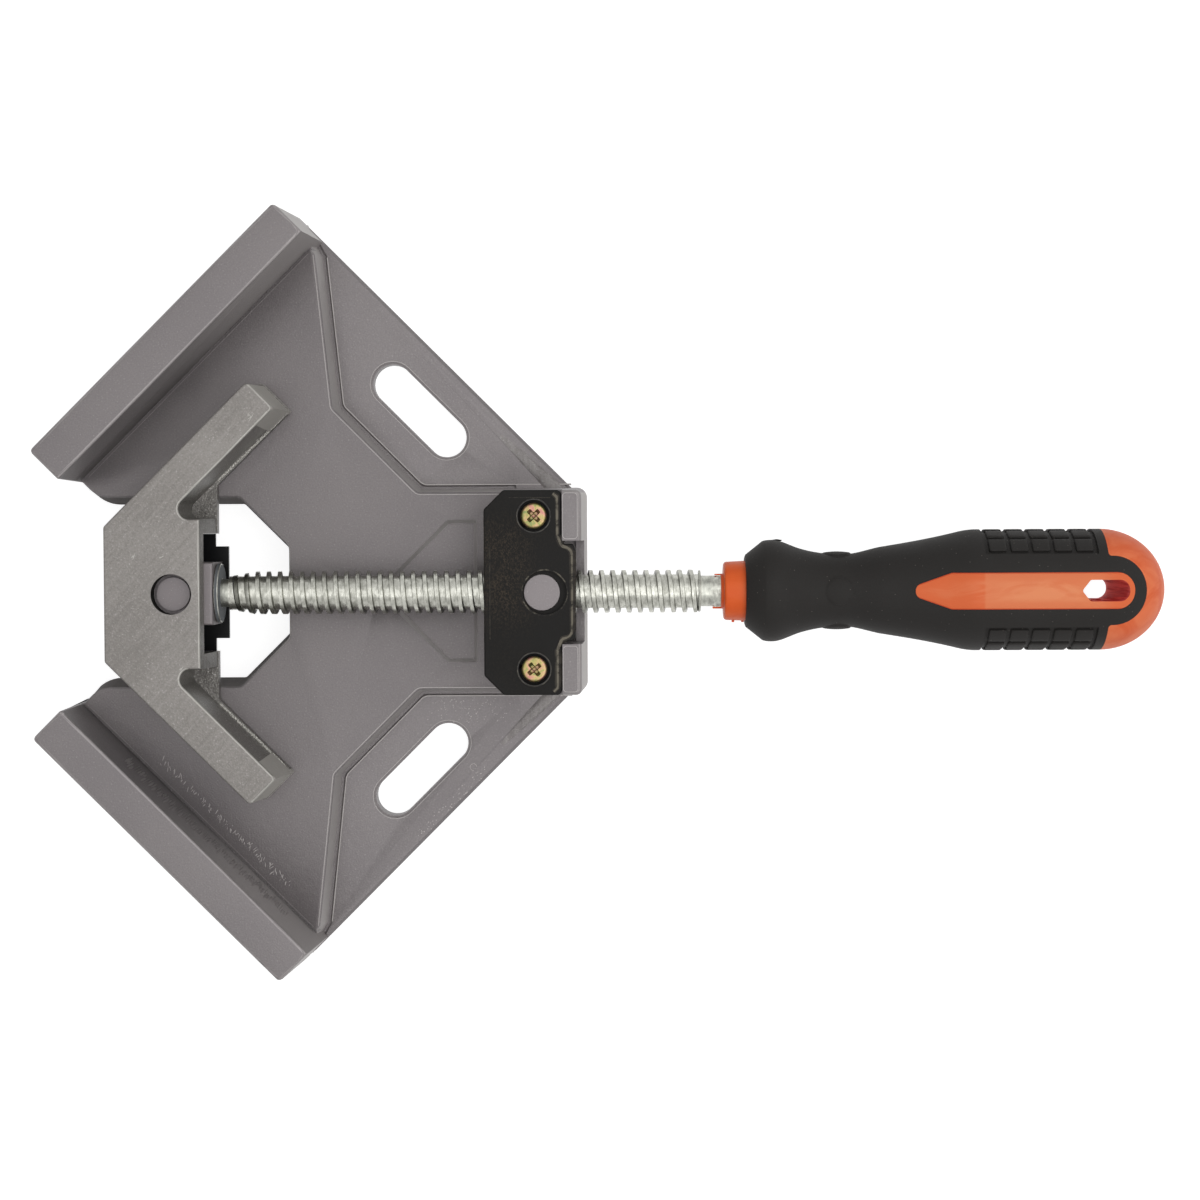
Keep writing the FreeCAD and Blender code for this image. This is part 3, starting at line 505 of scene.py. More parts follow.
def round_upright(x, y):
    """The same for an upright axis through (x, y), where along is the height."""
    def spot(along, radius, angle):
        return Vector((x + radius * math.cos(angle), y + radius * math.sin(angle), along)) * MM
    return spot


def revolve(bm, profile, steps, spot=round_spindle, swell=None):
    """Adds a surface turned from (along, radius) points; swell adds to the radius by place."""
    rings = []
    for along, radius in profile:
        on_axis = radius < 1e-6
        ring = []
        for angle in [0.0] if on_axis else [2.0 * math.pi * i / steps for i in range(steps)]:
            extra = swell(along, angle) if swell and not on_axis else 0.0
            ring.append(bm.verts.new(spot(along, 0.0 if on_axis else radius + extra, angle)))
        rings.append(ring)
    for one, two in zip(rings, rings[1:]):
        for i in range(steps):
            j = (i + 1) % steps
            corners = [one[i % len(one)], one[j % len(one)], two[j % len(two)], two[i % len(two)]]
            face = list(dict.fromkeys(corners))
            if len(face) > 2:
                bm.faces.new(face)


def turned(name, profile, steps, spot=round_spindle, swell=None):
    bm = bmesh.new()
    revolve(bm, profile, steps, spot, swell)
    return from_bmesh(name, bm)


def skin(name, rows, closed=False):
    """A piece over rows of places in metres, each row a loop: closed to a ring, or capped at both ends."""
    bm = bmesh.new()
    loops = [[bm.verts.new(p) for p in row] for row in rows]
    for one, two in list(zip(loops, loops[1:])) + ([(loops[-1], loops[0])] if closed else []):
        for i in range(len(one)):
            j = (i + 1) % len(one)
            bm.faces.new((one[i], one[j], two[j], two[i]))
    if not closed:
        bm.faces.new(loops[0])
        bm.faces.new(loops[-1])
    return from_bmesh(name, bm)


def prism(name, outline, z1, z2):
    """An upright block on a closed outline in millimetres."""
    return skin(name, [[(x * MM, y * MM, z * MM) for x, y in outline] for z in (z1, z2)])


def carved(piece, operation, *tools):
    """The piece cut by, joined with or limited to each tool, which is used up."""
    for tool in tools:
        step = piece.modifiers.new("carved", "BOOLEAN")
        step.operation = operation
        step.solver = "EXACT"
        step.object = tool
        settled(piece)
        bpy.data.objects.remove(tool)
    return piece


def rounded_outline(points, steps=8):
    """Closed (x, y) or (x, y, radius) corners as plain points, with an arc at each that has a radius."""
    result = []
    for i, (x, y, *rounding) in enumerate(points):
        here = Vector((x, y))
        into = (here - Vector(points[i - 1][:2])).normalized()
        away = (Vector(points[(i + 1) % len(points)][:2]) - here).normalized()
        turn = into.angle(away)
        if not rounding or turn < 1e-4:
            result.append(here)
            continue
        radius = rounding[0]
        reach = radius * math.tan(turn / 2.0)
        centre = here + (away - into).normalized() * (radius / math.cos(turn / 2.0))
        first = here - into * reach - centre
        side = 1.0 if into.cross(away) > 0 else -1.0
        for k in range(steps + 1):
            result.append(centre + Matrix.Rotation(side * turn * k / steps, 2) @ first)
    return result


def rounded_profile(points, steps=4):
    """(x, radius) or (x, radius, rounding) points as plain points, with a soft bend at each rounding."""
    result = []
    for i, (x, radius, *rounding) in enumerate(points):
        if not rounding:
            result.append((x, radius))
            continue
        here = Vector((x, radius))
        into = (Vector(points[i - 1][:2]) - here).normalized()
        away = (Vector(points[i + 1][:2]) - here).normalized()
        for k in range(steps + 1):
            t = k / steps
            result.append(tuple(here + into * rounding[0] * (1 - t) ** 2 + away * rounding[0] * t ** 2))
    return result


def ribbon(name, path, width, z, closed=False, rise=DRAWN_RISE):
    """A low raised line along a path, with sloping sides and a flat top; its width may change on the way."""
    rows = []
    last = len(path) - 1
    for i, p in enumerate(path):
        before = path[i - 1] if closed or i else p
        following = path[(i + 1) % len(path)] if closed or i < last else p
        along = (Vector(following) - Vector(before)).normalized()
        side = Vector((-along.y, along.x))
        here = width(i / last) if callable(width) else width
        row = []
        for offset, height in ((-0.5, -DRAWN_FOOT), (-0.3, rise), (0.3, rise), (0.5, -DRAWN_FOOT)):
            spot = Vector(p) + side * offset * here
            row.append((spot.x * MM, spot.y * MM, (z + height) * MM))
        rows.append(row)
    return skin(name, rows, closed)


# Small tools for geometry trees

def geometry_tree(name, **inputs):
    """A tree with a named input for each name by kind, and one for its finish; gives the inputs as wires."""
    tree = bpy.data.node_groups.new(name, "GeometryNodeTree")
    for kind, titles in {"Geometry": ["Geometry"], **inputs, "Material": ["Finish"]}.items():
        for title in titles:
            tree.interface.new_socket(title, in_out="INPUT", socket_type="NodeSocket" + kind)
    tree.interface.new_socket("Geometry", in_out="OUTPUT", socket_type="NodeSocketGeometry")
    return {socket.name: Wire(socket) for socket in tree.nodes.new("NodeGroupInput").outputs if socket.name}


def end_tree(geometry, finish_wire):
    """The tree closed off: what it has made is made real and given its finish."""
    real = after(geometry, "GeometryNodeRealizeInstances", {"Geometry": geometry})
    finished = after(real, "GeometryNodeSetMaterial", {"Geometry": real, "Material": finish_wire})
    add(geometry.tree, "NodeGroupOutput", {"Geometry": finished})
    return geometry.tree


def combined(x, y, z):
    """A place, size or turn from three values, of which the last is a wire."""
    return after(z, "ShaderNodeCombineXYZ", {"X": x, "Y": y, "Z": z})


def moved(geometry, spot):
    return after(geometry, "GeometryNodeSetPosition", {"Geometry": geometry, "Position": spot})


def grown(name, tree, values):
    """A piece that a geometry tree makes, as a plain mesh."""
    piece = new_object(name, bpy.data.meshes.new(name))
    modifier = piece.modifiers.new("made_by", "NODES")
    modifier.node_group = tree
    for item in tree.interface.items_tree:
        if item.item_type == "SOCKET" and item.in_out == "INPUT" and item.name in values:
            modifier[item.identifier] = values[item.name]
    return settled(piece)


# Spindle

WASHER_X = THREAD_START - 2.2
RING_GROOVE_X = -105.4
RING_GROOVE_WIDTH = 1.2
RING_GROOVE_R = 3.0
ROD_UNDER_ROOT = 0.3
END_TURN_R = 5.6
END_TURN_LENGTH = 0.6
ROD_END_X = 82.8
LUG_Y = (3.6, 4.25)
LUG_HALF_HEIGHT = 1.1
LUG_LENGTHS = {1.0: 1.9, -1.0: 2.6}


def thread_tree():
    """A rolled thread round the spindle's axis, as one sheared grid that is bent round and closed."""
    given = geometry_tree("rolled_thread", Float=["Start", "End", "Pitch", "Crest radius", "Root radius",
                                                  "Axis height", "Run in", "Run out"],
                          Int=["Rows per turn", "Columns"])
    start, end, pitch, root = (given[name] for name in ("Start", "End", "Pitch", "Root radius"))
    turns = ((end - start) / pitch).step("CEIL") + 2.0
    rows = turns * given["Rows per turn"]
    grid = after(rows, "GeometryNodeMeshGrid", {"Size X": 1.0, "Size Y": 1.0, "Vertices X": rows + 1.0,
                                                "Vertices Y": given["Columns"] + 1.0}, "Mesh")
    lengthwise, crosswise = axes(after(grid, "GeometryNodeInputPosition", {}))[:2]
    row = ((lengthwise + 0.5) * rows).step("ROUND")
    around = crosswise + 0.5
    turn = row / given["Rows per turn"]
    x = (start + (turn - 1.0 + around) * pitch).step("MAXIMUM", start).step("MINIMUM", end)
    # The crest's flat takes up 0.35 of a turn, and each flank 0.075
    crest = smooth((turn.step("FRACT") - 0.5).step("ABSOLUTE"), 0.175, 0.25, 1.0, 0.0)
    run_in, run_out = (
        after(x, "ShaderNodeMapRange", {"Value": way, "From Min": 0.0, "From Max": given[name]})
        for way, name in ((x - start, "Run in"), (end - x, "Run out")))
    inside = row.step("GREATER_THAN", 0.5) * row.step("LESS_THAN", rows - 0.5)
    radius = (root + (given["Crest radius"] - root) * (crest * (run_in * run_out))) * inside
    angle = around * (2.0 * math.pi)
    bent = moved(grid, combined(x, radius * angle.step("COSINE"),
                                given["Axis height"] + radius * angle.step("SINE")))
    closed = after(bent, "GeometryNodeMergeByDistance", {"Geometry": bent, "Distance": 0.002 * MM})
    return end_tree(closed, given["Finish"])


def spindle():
    """The thread on a rod from the nose into the handle, with the two swaged lugs before the collar."""
    thread = grown("thread", thread_tree(), {
        "Start": THREAD_START * MM, "End": THREAD_END * MM, "Pitch": PITCH * MM,
        "Crest radius": CREST_R * MM, "Root radius": ROOT_R * MM, "Axis height": AXIS_Z * MM,
        "Run in": 2.3 * PITCH * MM, "Run out": 0.35 * PITCH * MM,
        "Rows per turn": 24, "Columns": 56, "Finish": spindle_zinc})
    nose_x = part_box("spindle_screw")[0].x / MM
    groove_x = RING_GROOVE_X - RING_GROOVE_WIDTH
    rod_r = ROOT_R - ROD_UNDER_ROOT
    end_turn_x = THREAD_END - END_TURN_LENGTH
    rod = turned("rod", rounded_profile([
        (nose_x, 0.0), (nose_x, JOURNAL_R, 0.5), (groove_x, JOURNAL_R), (groove_x, RING_GROOVE_R),
        (RING_GROOVE_X, RING_GROOVE_R), (RING_GROOVE_X, JOURNAL_R), (WASHER_X, JOURNAL_R), (WASHER_X, NECK_R),
        (THREAD_START, NECK_R), (THREAD_START, rod_r), (end_turn_x, rod_r), (end_turn_x, END_TURN_R, 0.25),
        (THREAD_END, END_TURN_R, 0.25), (THREAD_END, SHANK_R), (ROD_END_X, SHANK_R), (ROD_END_X, 0.0)]), 64)
    parts = [(thread, spindle_zinc), (rod, shank_zinc)]
    near, far = LUG_Y
    for side, length in LUG_LENGTHS.items():
        outline = rounded_outline([(COLLAR_X, side * far), (COLLAR_X, side * near),
                                   (COLLAR_X - length, side * near), (COLLAR_X - length, side * far, 0.3)], 4)
        lug = prism("swage_lug", outline, AXIS_Z - LUG_HALF_HEIGHT, AXIS_Z + LUG_HALF_HEIGHT)
        parts.append((lug, shank_zinc))
    finish_piece(joined("spindle", parts, [spindle_zinc, shank_zinc], 50.0),
                 "spindle", "spindle_zinc", "spindle_screw")


# Handle

PAD_X = 79.4
PAD_HALF = 3.9
PAD_TOP_R = 10.55
PAD_DOME = 0.35
PAD_RIM_SHARE = 0.12
LOBE_HALF = 9.2
LOBE_END_X = 160.3
HOLE_X1 = 143.1
HOLE_X2 = 155.4
HOLE_HALF = 2.85
HOLE_POINT = 2.3
FAR = 2.0 * BODY_R
ROUND_STEPS = 176
NIB_X = 63.2
NIB_Y = 13.6
NIB_STRETCH = 1.3


def bend(x1, r1, slope1, x2, r2, slope2, steps):
    """A smooth curve between two stations of the handle, without its first point."""
    third = (x2 - x1) / 3.0
    poles = [Vector((x1, r1)), Vector((x1 + third, r1 + slope1 * third)),
             Vector((x2 - third, r2 - slope2 * third)), Vector((x2, r2))]
    points = []
    for k in range(1, steps + 1):
        t = k / steps
        shares = ((1 - t) ** 3, 3 * t * (1 - t) ** 2, 3 * t * t * (1 - t), t ** 3)
        points.append(tuple(sum((pole * share for pole, share in zip(poles, shares)), Vector((0.0, 0.0)))))
    return points


def handle_profile(inset=0.0):
    """The handle from its shoulder to the dome's tip, at a depth below the surface."""
    rise = (BODY_R - TAPER_R) / (BODY_X - TAPER_X)
    soften = 2.5
    # Each station: its x, its radius, the slope of the curve that ends there, that of the next, and the steps
    stations = [(SHOULDER_X, SHOULDER_R, 0.0, 0.35, 0), (BULGE_X, BULGE_R, 0.0, 0.0, 5),
                (THROAT_X, THROAT_R, THROAT_SLOPE, THROAT_SLOPE, 16), (WAIST_X, WAIST_R, 0.0, 0.0, 32),
                (TAPER_X, TAPER_R, rise, TAPER_SLOPE, 22),
                (BODY_X - soften, BODY_R - BODY_SLOPE * soften, BODY_SLOPE, BODY_SLOPE, 10),
                (BODY_X + soften, BODY_R, 0.0, 0.0, 8)]
    points = [(SHOULDER_X, SHOULDER_R - inset)]
    for (x1, r1, _, leaving, _), (x2, r2, arriving, _, steps) in zip(stations, stations[1:]):
        points += bend(x1, r1 - inset, leaving, x2, r2 - inset, arriving, steps)
    points.append((GRIP_END_X, BODY_R - inset))
    for k in range(1, 21):
        angle = 0.5 * math.pi * k / 20
        radius = (BODY_R - inset) * math.cos(angle) if k < 20 else 0.0
        points.append((GRIP_END_X + (DOME_LENGTH - inset) * math.sin(angle), radius))
    return points


WAIST_CURVE = [point for point in handle_profile() if PAD_X - 6.0 < point[0] < PAD_X + 6.0]


def thumb_pads(x, angle):
    """Four low round pads at the waist, a quarter turn apart, each with a slightly domed top."""
    quarter = 0.5 * math.pi
    across = (angle - round(angle / quarter) * quarter) * WAIST_R
    share = math.hypot(x - PAD_X, across) / PAD_HALF
    if share >= 1.0:
        return 0.0
    here = next(r1 + (r2 - r1) * (x - x1) / (x2 - x1)
                for (x1, r1), (x2, r2) in zip(WAIST_CURVE, WAIST_CURVE[1:]) if x <= x2)
    step = min(1.0, (1.0 - share) / PAD_RIM_SHARE)
    return max(0.0, PAD_TOP_R - PAD_DOME * share * share - here) * step * step * (3.0 - 2.0 * step)


def through_cutter(name, upper, steps):
    """A block through the whole height of the handle, from the corners of an outline's upper half."""
    lower = [(x, -y, *rounding) for x, y, *rounding in reversed(upper) if y]
    return prism(name, rounded_outline(upper + lower, steps), AXIS_Z - FAR, AXIS_Z + FAR)


def window(spare=0.0):
    """The inlay's outline as a block, with some room round it for the grip's side."""
    half = INLAY_HALF + spare
    return through_cutter("window", [(INLAY_END_X + spare, half, 0.98 * half), (INLAY_FULL_X, half, 2.0),
                                     (INLAY_TIP_X - spare, INLAY_TIP_HALF, 2.05)], 12)


def grip_reach():
    """The grip's share of the handle seen from above: all up to the dome, and the lobe."""
    return through_cutter("reach", [(LOBE_END_X, LOBE_HALF, 0.98 * LOBE_HALF), (GRIP_END_X, LOBE_HALF, 0.8),
                                    (GRIP_END_X, FAR), (GRIP_X - 5.0, FAR)], 16)


def grip_shell():
    """The grip as a thick skin, with room for the inlay."""
    front = [(GRIP_X, COLLAR_R - 0.1), (GRIP_X, GRIP_FRONT_R - 0.7), (GRIP_X + 0.2, GRIP_FRONT_R - 0.2),
             (GRIP_X + 0.7, GRIP_FRONT_R + 0.2)]
    bm = bmesh.new()
    revolve(bm, front + handle_profile(), ROUND_STEPS, swell=thumb_pads)
    revolve(bm, front[:1] + handle_profile(GRIP_SKIN), ROUND_STEPS)
    shell = carved(from_bmesh("grip_shell", bm, [grip_black]), "INTERSECT", grip_reach())
    return carved(shell, "DIFFERENCE", window(INLAY_ROOM))


def block_bed(side):
    """The sunk field that the grip blocks stand in, on one side of the grip."""
    gap = BLOCK_PITCH - BLOCK_LENGTH
    x1 = BLOCK_FIRST_X - 0.5 * BLOCK_LENGTH - gap
    x2 = x1 + BLOCK_COUNT * BLOCK_PITCH + gap
    half = math.radians(0.5 * ROW_COUNT * ROW_PITCH_DEG + 2.0)
    low, high = BODY_R - BLOCK_DEPTH, BODY_R + 2.0
    steps = 24
    rows = []
    for k in range(steps + 1):
        angle = half * (2.0 * k / steps - 1.0) + (0.0 if side > 0 else math.pi)
        rows.append([round_spindle(x, r, angle) for x, r in ((x1, low), (x2, low), (x2, high), (x1, high))])
    return skin("block_bed", rows)


def blocks_tree():
    """Rounded blocks in rows and columns, bent round the handle on both of its sides."""
    given = geometry_tree("grip_blocks", Float=["First", "Pitch", "Block length", "Row pitch", "Radius",
                                                "Depth", "Rounding", "Axis height"], Int=["Columns", "Rows"])
    pitch, length, radius = (given[name] for name in ("Pitch", "Block length", "Radius"))
    row_step = given["Row pitch"] * radius
    height = given["Depth"] * 2.6
    size = combined(length, row_step - (pitch - length), height)
    cube = after(size, "GeometryNodeMeshCube",
                 {"Size": size, "Vertices X": 9, "Vertices Y": 9, "Vertices Z": 5}, "Mesh")
    half = size.vector("MULTIPLY", (0.5,) * 3)
    here = after(size, "GeometryNodeInputPosition", {})
    share = here.vector("DIVIDE", half).vector("MULTIPLY", (math.pi / 2,) * 3).vector("SINE")
    spread = share.vector("MULTIPLY", half)
    edge = combined(*[given["Rounding"]] * 3)
    inner = half.vector("SUBTRACT", edge)
    held = spread.vector("MAXIMUM", inner.vector("MULTIPLY", (-1.0,) * 3)).vector("MINIMUM", inner)
    out = spread.vector("SUBTRACT", held).vector("NORMALIZE")
    block = moved(cube, held.vector("ADD", out.vector("MULTIPLY", edge)))
    last_column = given["Columns"] - 1.0
    field = after(row_step, "GeometryNodeMeshGrid", {
        "Size X": last_column * pitch, "Size Y": (given["Rows"] - 1.0) * row_step,
        "Vertices X": given["Columns"], "Vertices Y": given["Rows"]}, "Mesh")
    laid = after(field, "GeometryNodeInstanceOnPoints", {"Points": field, "Instance": block})
    real = after(laid, "GeometryNodeRealizeInstances", {"Geometry": laid})
    along, crosswise, high = axes(after(real, "GeometryNodeInputPosition", {}))
    angle = crosswise / radius
    reach = radius - height * 0.5 + high
    bent = moved(real, combined(given["First"] + last_column * 0.5 * pitch + along,
                                reach * angle.step("COSINE"), reach * angle.step("SINE")))
    second = after(bent, "GeometryNodeTransform", {"Geometry": bent, "Rotation": (math.pi, 0.0, 0.0)})
    both = add(bent.tree, "GeometryNodeJoinGeometry")
    for side in (bent, second):
        plug(side, both.inputs[0])
    raised = after(bent, "GeometryNodeTransform", {"Geometry": Wire(both.outputs[0]),
                                                   "Translation": combined(0.0, 0.0, given["Axis height"])})
    shaded = after(raised, "GeometryNodeSetShadeSmooth", {"Geometry": raised})
    return end_tree(shaded, given["Finish"])


def handle_grip():
    """The black grip with its sunk beds, the blocks in them and the moulding nib."""
    shell = carved(grip_shell(), "DIFFERENCE", block_bed(1), block_bed(-1))
    blocks = grown("blocks", blocks_tree(), {
        "First": BLOCK_FIRST_X * MM, "Pitch": BLOCK_PITCH * MM, "Block length": BLOCK_LENGTH * MM,
        "Row pitch": math.radians(ROW_PITCH_DEG), "Radius": BODY_R * MM, "Depth": BLOCK_DEPTH * MM,
        "Rounding": 0.35 * MM, "Axis height": AXIS_Z * MM, "Columns": BLOCK_COUNT, "Rows": ROW_COUNT,
        "Finish": grip_black})
    nib = turned("nib", [(-0.35, 0.0), (-0.2, 1.0), (0.1, 1.2), (0.35, 0.0)], 16,
                 lambda along, r, angle: Vector((NIB_X + NIB_STRETCH * r * math.cos(angle), NIB_Y + along,
                                                 AXIS_Z + r * math.sin(angle))) * MM)
    finish_piece(joined("grip", [(part, grip_black) for part in (shell, blocks, nib)], [grip_black], 40.0),
                 "spindle", "grip_black", "handle_grip")


def hanging_hole():
    """The cutter for the hanging hole: round at the dome's end, pointed at the other."""
    point_x = HOLE_X1 - 0.2 * HOLE_POINT
    full_x = HOLE_X1 + 0.8 * HOLE_POINT
    return through_cutter("hole", [(HOLE_X2, HOLE_HALF, 0.95 * HOLE_HALF), (full_x, HOLE_HALF, 0.8),
                                   (point_x, 0.0, 0.8)], 10)


def handle_core():
    """The orange moulding: dome, inlay and hidden sleeve, with the collar and its flash."""
    finishes = [core_orange, inlay_orange, hole_red_painted_glow, collar_orange]
    surface = handle_profile()
    inlay_x = INLAY_TIP_X - 3.0
    dome_x = GRIP_END_X - 3.0
    sleeve = turned("sleeve", [(GRIP_X, 0.0), (GRIP_X, COLLAR_R - 0.2)] + handle_profile(GRIP_SKIN), 96)
    dome = turned("dome", [(dome_x, 0.0), (dome_x, BODY_R - GRIP_SKIN)]
                  + [p for p in surface if p[0] >= GRIP_END_X], ROUND_STEPS)
    inlay = turned("inlay", [(inlay_x, 0.0)] + [p for p in surface if p[0] >= inlay_x], ROUND_STEPS)
    parts = []
    for part, material in ((sleeve, core_orange), (carved(dome, "DIFFERENCE", grip_reach()), core_orange),
                           (carved(inlay, "INTERSECT", window()), inlay_orange)):
        carved(part, "DIFFERENCE", hanging_hole())
        for face in part.data.polygons:
            x, y = face.center.xy / MM
            in_hole = HOLE_X1 - 1.0 < x < HOLE_X2 + 0.05 and abs(y) < HOLE_HALF + 0.05
            wall = in_hole and abs(face.normal.z) < 0.2
            face.material_index = finishes.index(hole_red_painted_glow if wall else material)
        parts.append((part, None))
    collar = turned("collar", rounded_profile([
        (COLLAR_X, 0.0), (COLLAR_X, COLLAR_R - 0.15, 0.9), (GRIP_X - 0.5, COLLAR_R + 0.1),
        (GRIP_X + 0.2, COLLAR_R + 0.1), (GRIP_X + 0.2, 0.0)]), 96)
    lip = turned("lip", rounded_profile([
        (COLLAR_X - 0.75, 0.0), (COLLAR_X - 0.75, 4.62, 0.3), (COLLAR_X + 0.1, 4.75),
        (COLLAR_X + 0.1, 0.0)]), 64,
        swell=lambda x, angle: 0.12 * math.sin(5.0 * angle + 1.0) * math.sin(2.0 * angle))
    parts += [(collar, collar_orange), (lip, collar_orange)]
    for x1, x2, y, z, thick, width in ((46.4, 48.9, 4.45, AXIS_Z + 0.3, 0.35, 1.4),
                                       (45.9, 48.9, -4.5, AXIS_Z - 0.2, 0.55, 1.2),
                                       (51.0, 51.7, -8.2, AXIS_Z + 0.6, 0.5, 0.8),
                                       (53.6, 54.3, -8.25, AXIS_Z + 0.2, 0.4, 0.7)):
        outline = rounded_outline([(x2, y - thick / 2), (x2, y + thick / 2),
                                   (x1, y + thick / 2, 0.15), (x1, y - thick / 2, 0.15)], 3)
        parts.append((prism("flash", outline, z - width / 2, z + width / 2), collar_orange))
    finish_piece(joined("core", parts, finishes, 40.0), "spindle", "core_orange", "handle_core")


# Cover with its screws

# The worn crest that follows the cover's right edge, from one end to the middle of the cover
WORN_LINE = [(3.1, 26.4), (4.15, 25.4, 0.8), (4.2, 15.2, 2.0), (5.3, 12.4, 1.2), (8.05, 11.6, 2.2),
             (8.1, 0.0)]
LIP_X = -13.8
LIP_HALF = 12.4
SINK_X = 0.8
SINK_R = 5.9
HEAD_HEIGHT = 2.0
RECESS_R = 2.3


def middle(node):
    """The middle of a solid's box, in millimetres."""
    low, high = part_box(node)
    return (Vector(low) + Vector(high)) / (2.0 * MM)


def ring(name, x, y, inner, outer, rise):
    """A low lip round a hole in the cover."""
    top = COVER_TOP + rise
    foot = top - DRAWN_FOOT
    profile = [(foot, inner), (top, inner), (top, outer - 0.12), (foot, outer + 0.2), (foot, inner)]
    return turned(name, profile, 72, round_upright(x, y))


def cover():
    """The cover's plate with its worn crest, its lip and the rings round its holes."""
    plate = dressed("nut_cover", "plate", 0.15, [cover_black, cover_edge])
    upper = rounded_outline(WORN_LINE)
    path = upper + [Vector((p.x, -p.y)) for p in reversed(upper[:-1])]
    parts = [(plate, None)]
    for name, line, width, rise, material in (
            ("worn_halo", path, lambda t: 2.0 + 0.5 * math.sin(31.0 * t), 0.03, cover_halo),
            ("worn_line", path, lambda t: 1.0 + 0.35 * math.sin(40.0 * t) * math.sin(23.0 * t), 0.06,
             cover_worn),
            ("edge_wear", [(-8.6, 25.3), (2.4, 25.25)], 0.3, 0.04, cover_halo),
            ("lip", [(LIP_X, LIP_HALF), (LIP_X, -LIP_HALF)], 0.5, 0.12, cover_halo)):
        parts.append((ribbon(name, line, width, COVER_TOP, rise=rise), material))
    for node in ("cover_screw_1", "cover_screw_2"):
        x, y = middle(node).xy
        parts.append((ring("screw_lip", x, y, 4.3, 4.72, 0.1), cover_edge))
        parts.append((ring("screw_wear", x, y, 4.45, 4.7, 0.12), cover_chips))
    parts.append((ring("pivot_lip", SINK_X, 0.0, SINK_R, SINK_R + 0.45, 0.05), cover_chips))
    finish_piece(joined("cover", parts, [cover_black, cover_edge, cover_worn, cover_halo, cover_chips], 18.0),
                 "base", "cover_plastic", "nut_cover")


def cross_outline(x, y, half, width, turn_deg):
    """The plan of a cross recess: four arms with softened corners."""
    w = 0.5 * width
    corners = []
    for k in range(4):
        rotation = Matrix.Rotation(math.radians(90.0 * k + turn_deg), 2)
        for px, py, radius in ((half, -w, 0.25), (half, w, 0.25), (w, w, 0.12)):
            spot = rotation @ Vector((px, py))
            corners.append((x + spot.x, y + spot.y, radius))
    return rounded_outline(corners, 3)


def recess(x, y, top, turn_deg):
    """The cutters for a cross recess: arms that shorten with depth, and a coned middle."""
    arms = skin("recess_arms", [[(p.x * MM, p.y * MM, (top - depth) * MM)
                                 for p in cross_outline(x, y, half, width, turn_deg)]
                                for depth, half, width in ((-0.6, 2.25, 1.4), (0.0, 2.05, 1.25),
                                                           (1.1, 1.2, 0.7))])
    cone = turned("recess_cone", [(top + 0.6, 0.0), (top + 0.6, 1.25), (top - 1.5, 0.5), (top - 1.8, 0.0)], 8,
                  round_upright(x, y))
    return [arms, cone]


def cover_screw(node, turn_deg):
    """A pan head screw with its cross recess turned to an angle."""
    low, high = (corner.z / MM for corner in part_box(node))
    x, y = middle(node).xy
    seat = high - HEAD_HEIGHT
    profile = rounded_profile([(low, 0.0), (low, 1.5), (low + 0.6, 2.0), (seat, 2.0), (seat, 3.42, 0.1),
                               (seat + 1.5, 3.5, 0.3), (high, 2.9, 0.35), (high, 0.0)], 5)
    screw = carved(turned(node + "_turned", profile, 64, round_upright(x, y)), "DIFFERENCE",
                   *recess(x, y, high, turn_deg))
    for face in screw.data.polygons:
        spot = face.center / MM
        inside = seat - 0.5 < spot.z < high - 0.01 and math.hypot(spot.x - x, spot.y - y) < RECESS_R
        face.material_index = 1 if inside else 0
    finish_piece(joined(node + "_dressed", [(screw, None)], [screw_zinc, recess_zinc_painted_shade]),
                 "base", "screw_zinc", node)


# Castings and small pieces that keep the solids' shapes

CORNER_REACH = 158.1
FENCE_START = 43.1
FENCE_END = 135.15
FENCE_THICK = 10.9
FENCE_TOP = 40.0
FLOOR_TOP = 15.0
WING_TOP = 6.0
GROOVE_WIDTH = 2.0
GROOVE_SEEN = 0.8
FLOOR_END_Y = 27.05
FLOOR_EDGE = [(-10.2, FLOOR_END_Y), (-34.7, FLOOR_END_Y, 3.0), (-57.9, 50.4, 3.0), (-62.3, 92.3)]
GUSSET_END_X = 7.5
# Limits that tell the base's faces apart; a gusset's faces have x + |y| above its sum
GUSSET_SUM = 29.0
FENCE_EDGE_LOW = 34.6
ARROW_LOW = 13.2
ARROW_HALF = 20.5
FLANK_Y = 26.0
NOTCH_X = -66.0
HOUSING_END_X = 9.0
# A face counts as level when the Z of its normal is above this
LEVEL = 0.95
SLOT_ENDS = [(-41.96, 57.46), (-27.04, 42.54)]
SLOT_R = 5.45
SLOT_RING_GAP = 0.85
JAW_TOP = 38.0
JAW_RIM = [(-71.6, 47.1), (-88.7, 30.6)]
JAW_FLANGE_TOP = 18.5
JAW_PIVOT_X = -98.4
JAW_BORE_R = 5.6
JAW_ARM_END_Y = 43.0
# The open ring on the lower wing: its middle and its radius
CAST_CIRCLE = (-20.2, -49.4, 0.95)
CAST_CIRCLE_TURN_DEG = 275.0197
DIAGONAL = math.sqrt(0.5)

BASE_FINISHES = [base_paint, base_edge_highlight, flank_painted_light, notch_wall_painted_light, base_painted_light, gusset_sanding_and_highlight, fence_wall_painted_reflection, floor_painted_shade,
                 wing_painted_light]
JAW_FINISHES = [jaw_cast, jaw_highlight_and_blemish, jaw_side, jaw_tip_painted_light, bore_painted_shade]


def fence_spot(along, out):
    """A plan point given along the upper fence from the corner, and out from its working face."""
    return (-CORNER_REACH + (along - out) * DIAGONAL, (along + out) * DIAGONAL)


def fence_share(x, y):
    """The same the other way round: how far along and how far out a plan point lies, on either side."""
    from_corner = x + CORNER_REACH
    return (abs(y) + from_corner) * DIAGONAL, (abs(y) - from_corner) * DIAGONAL


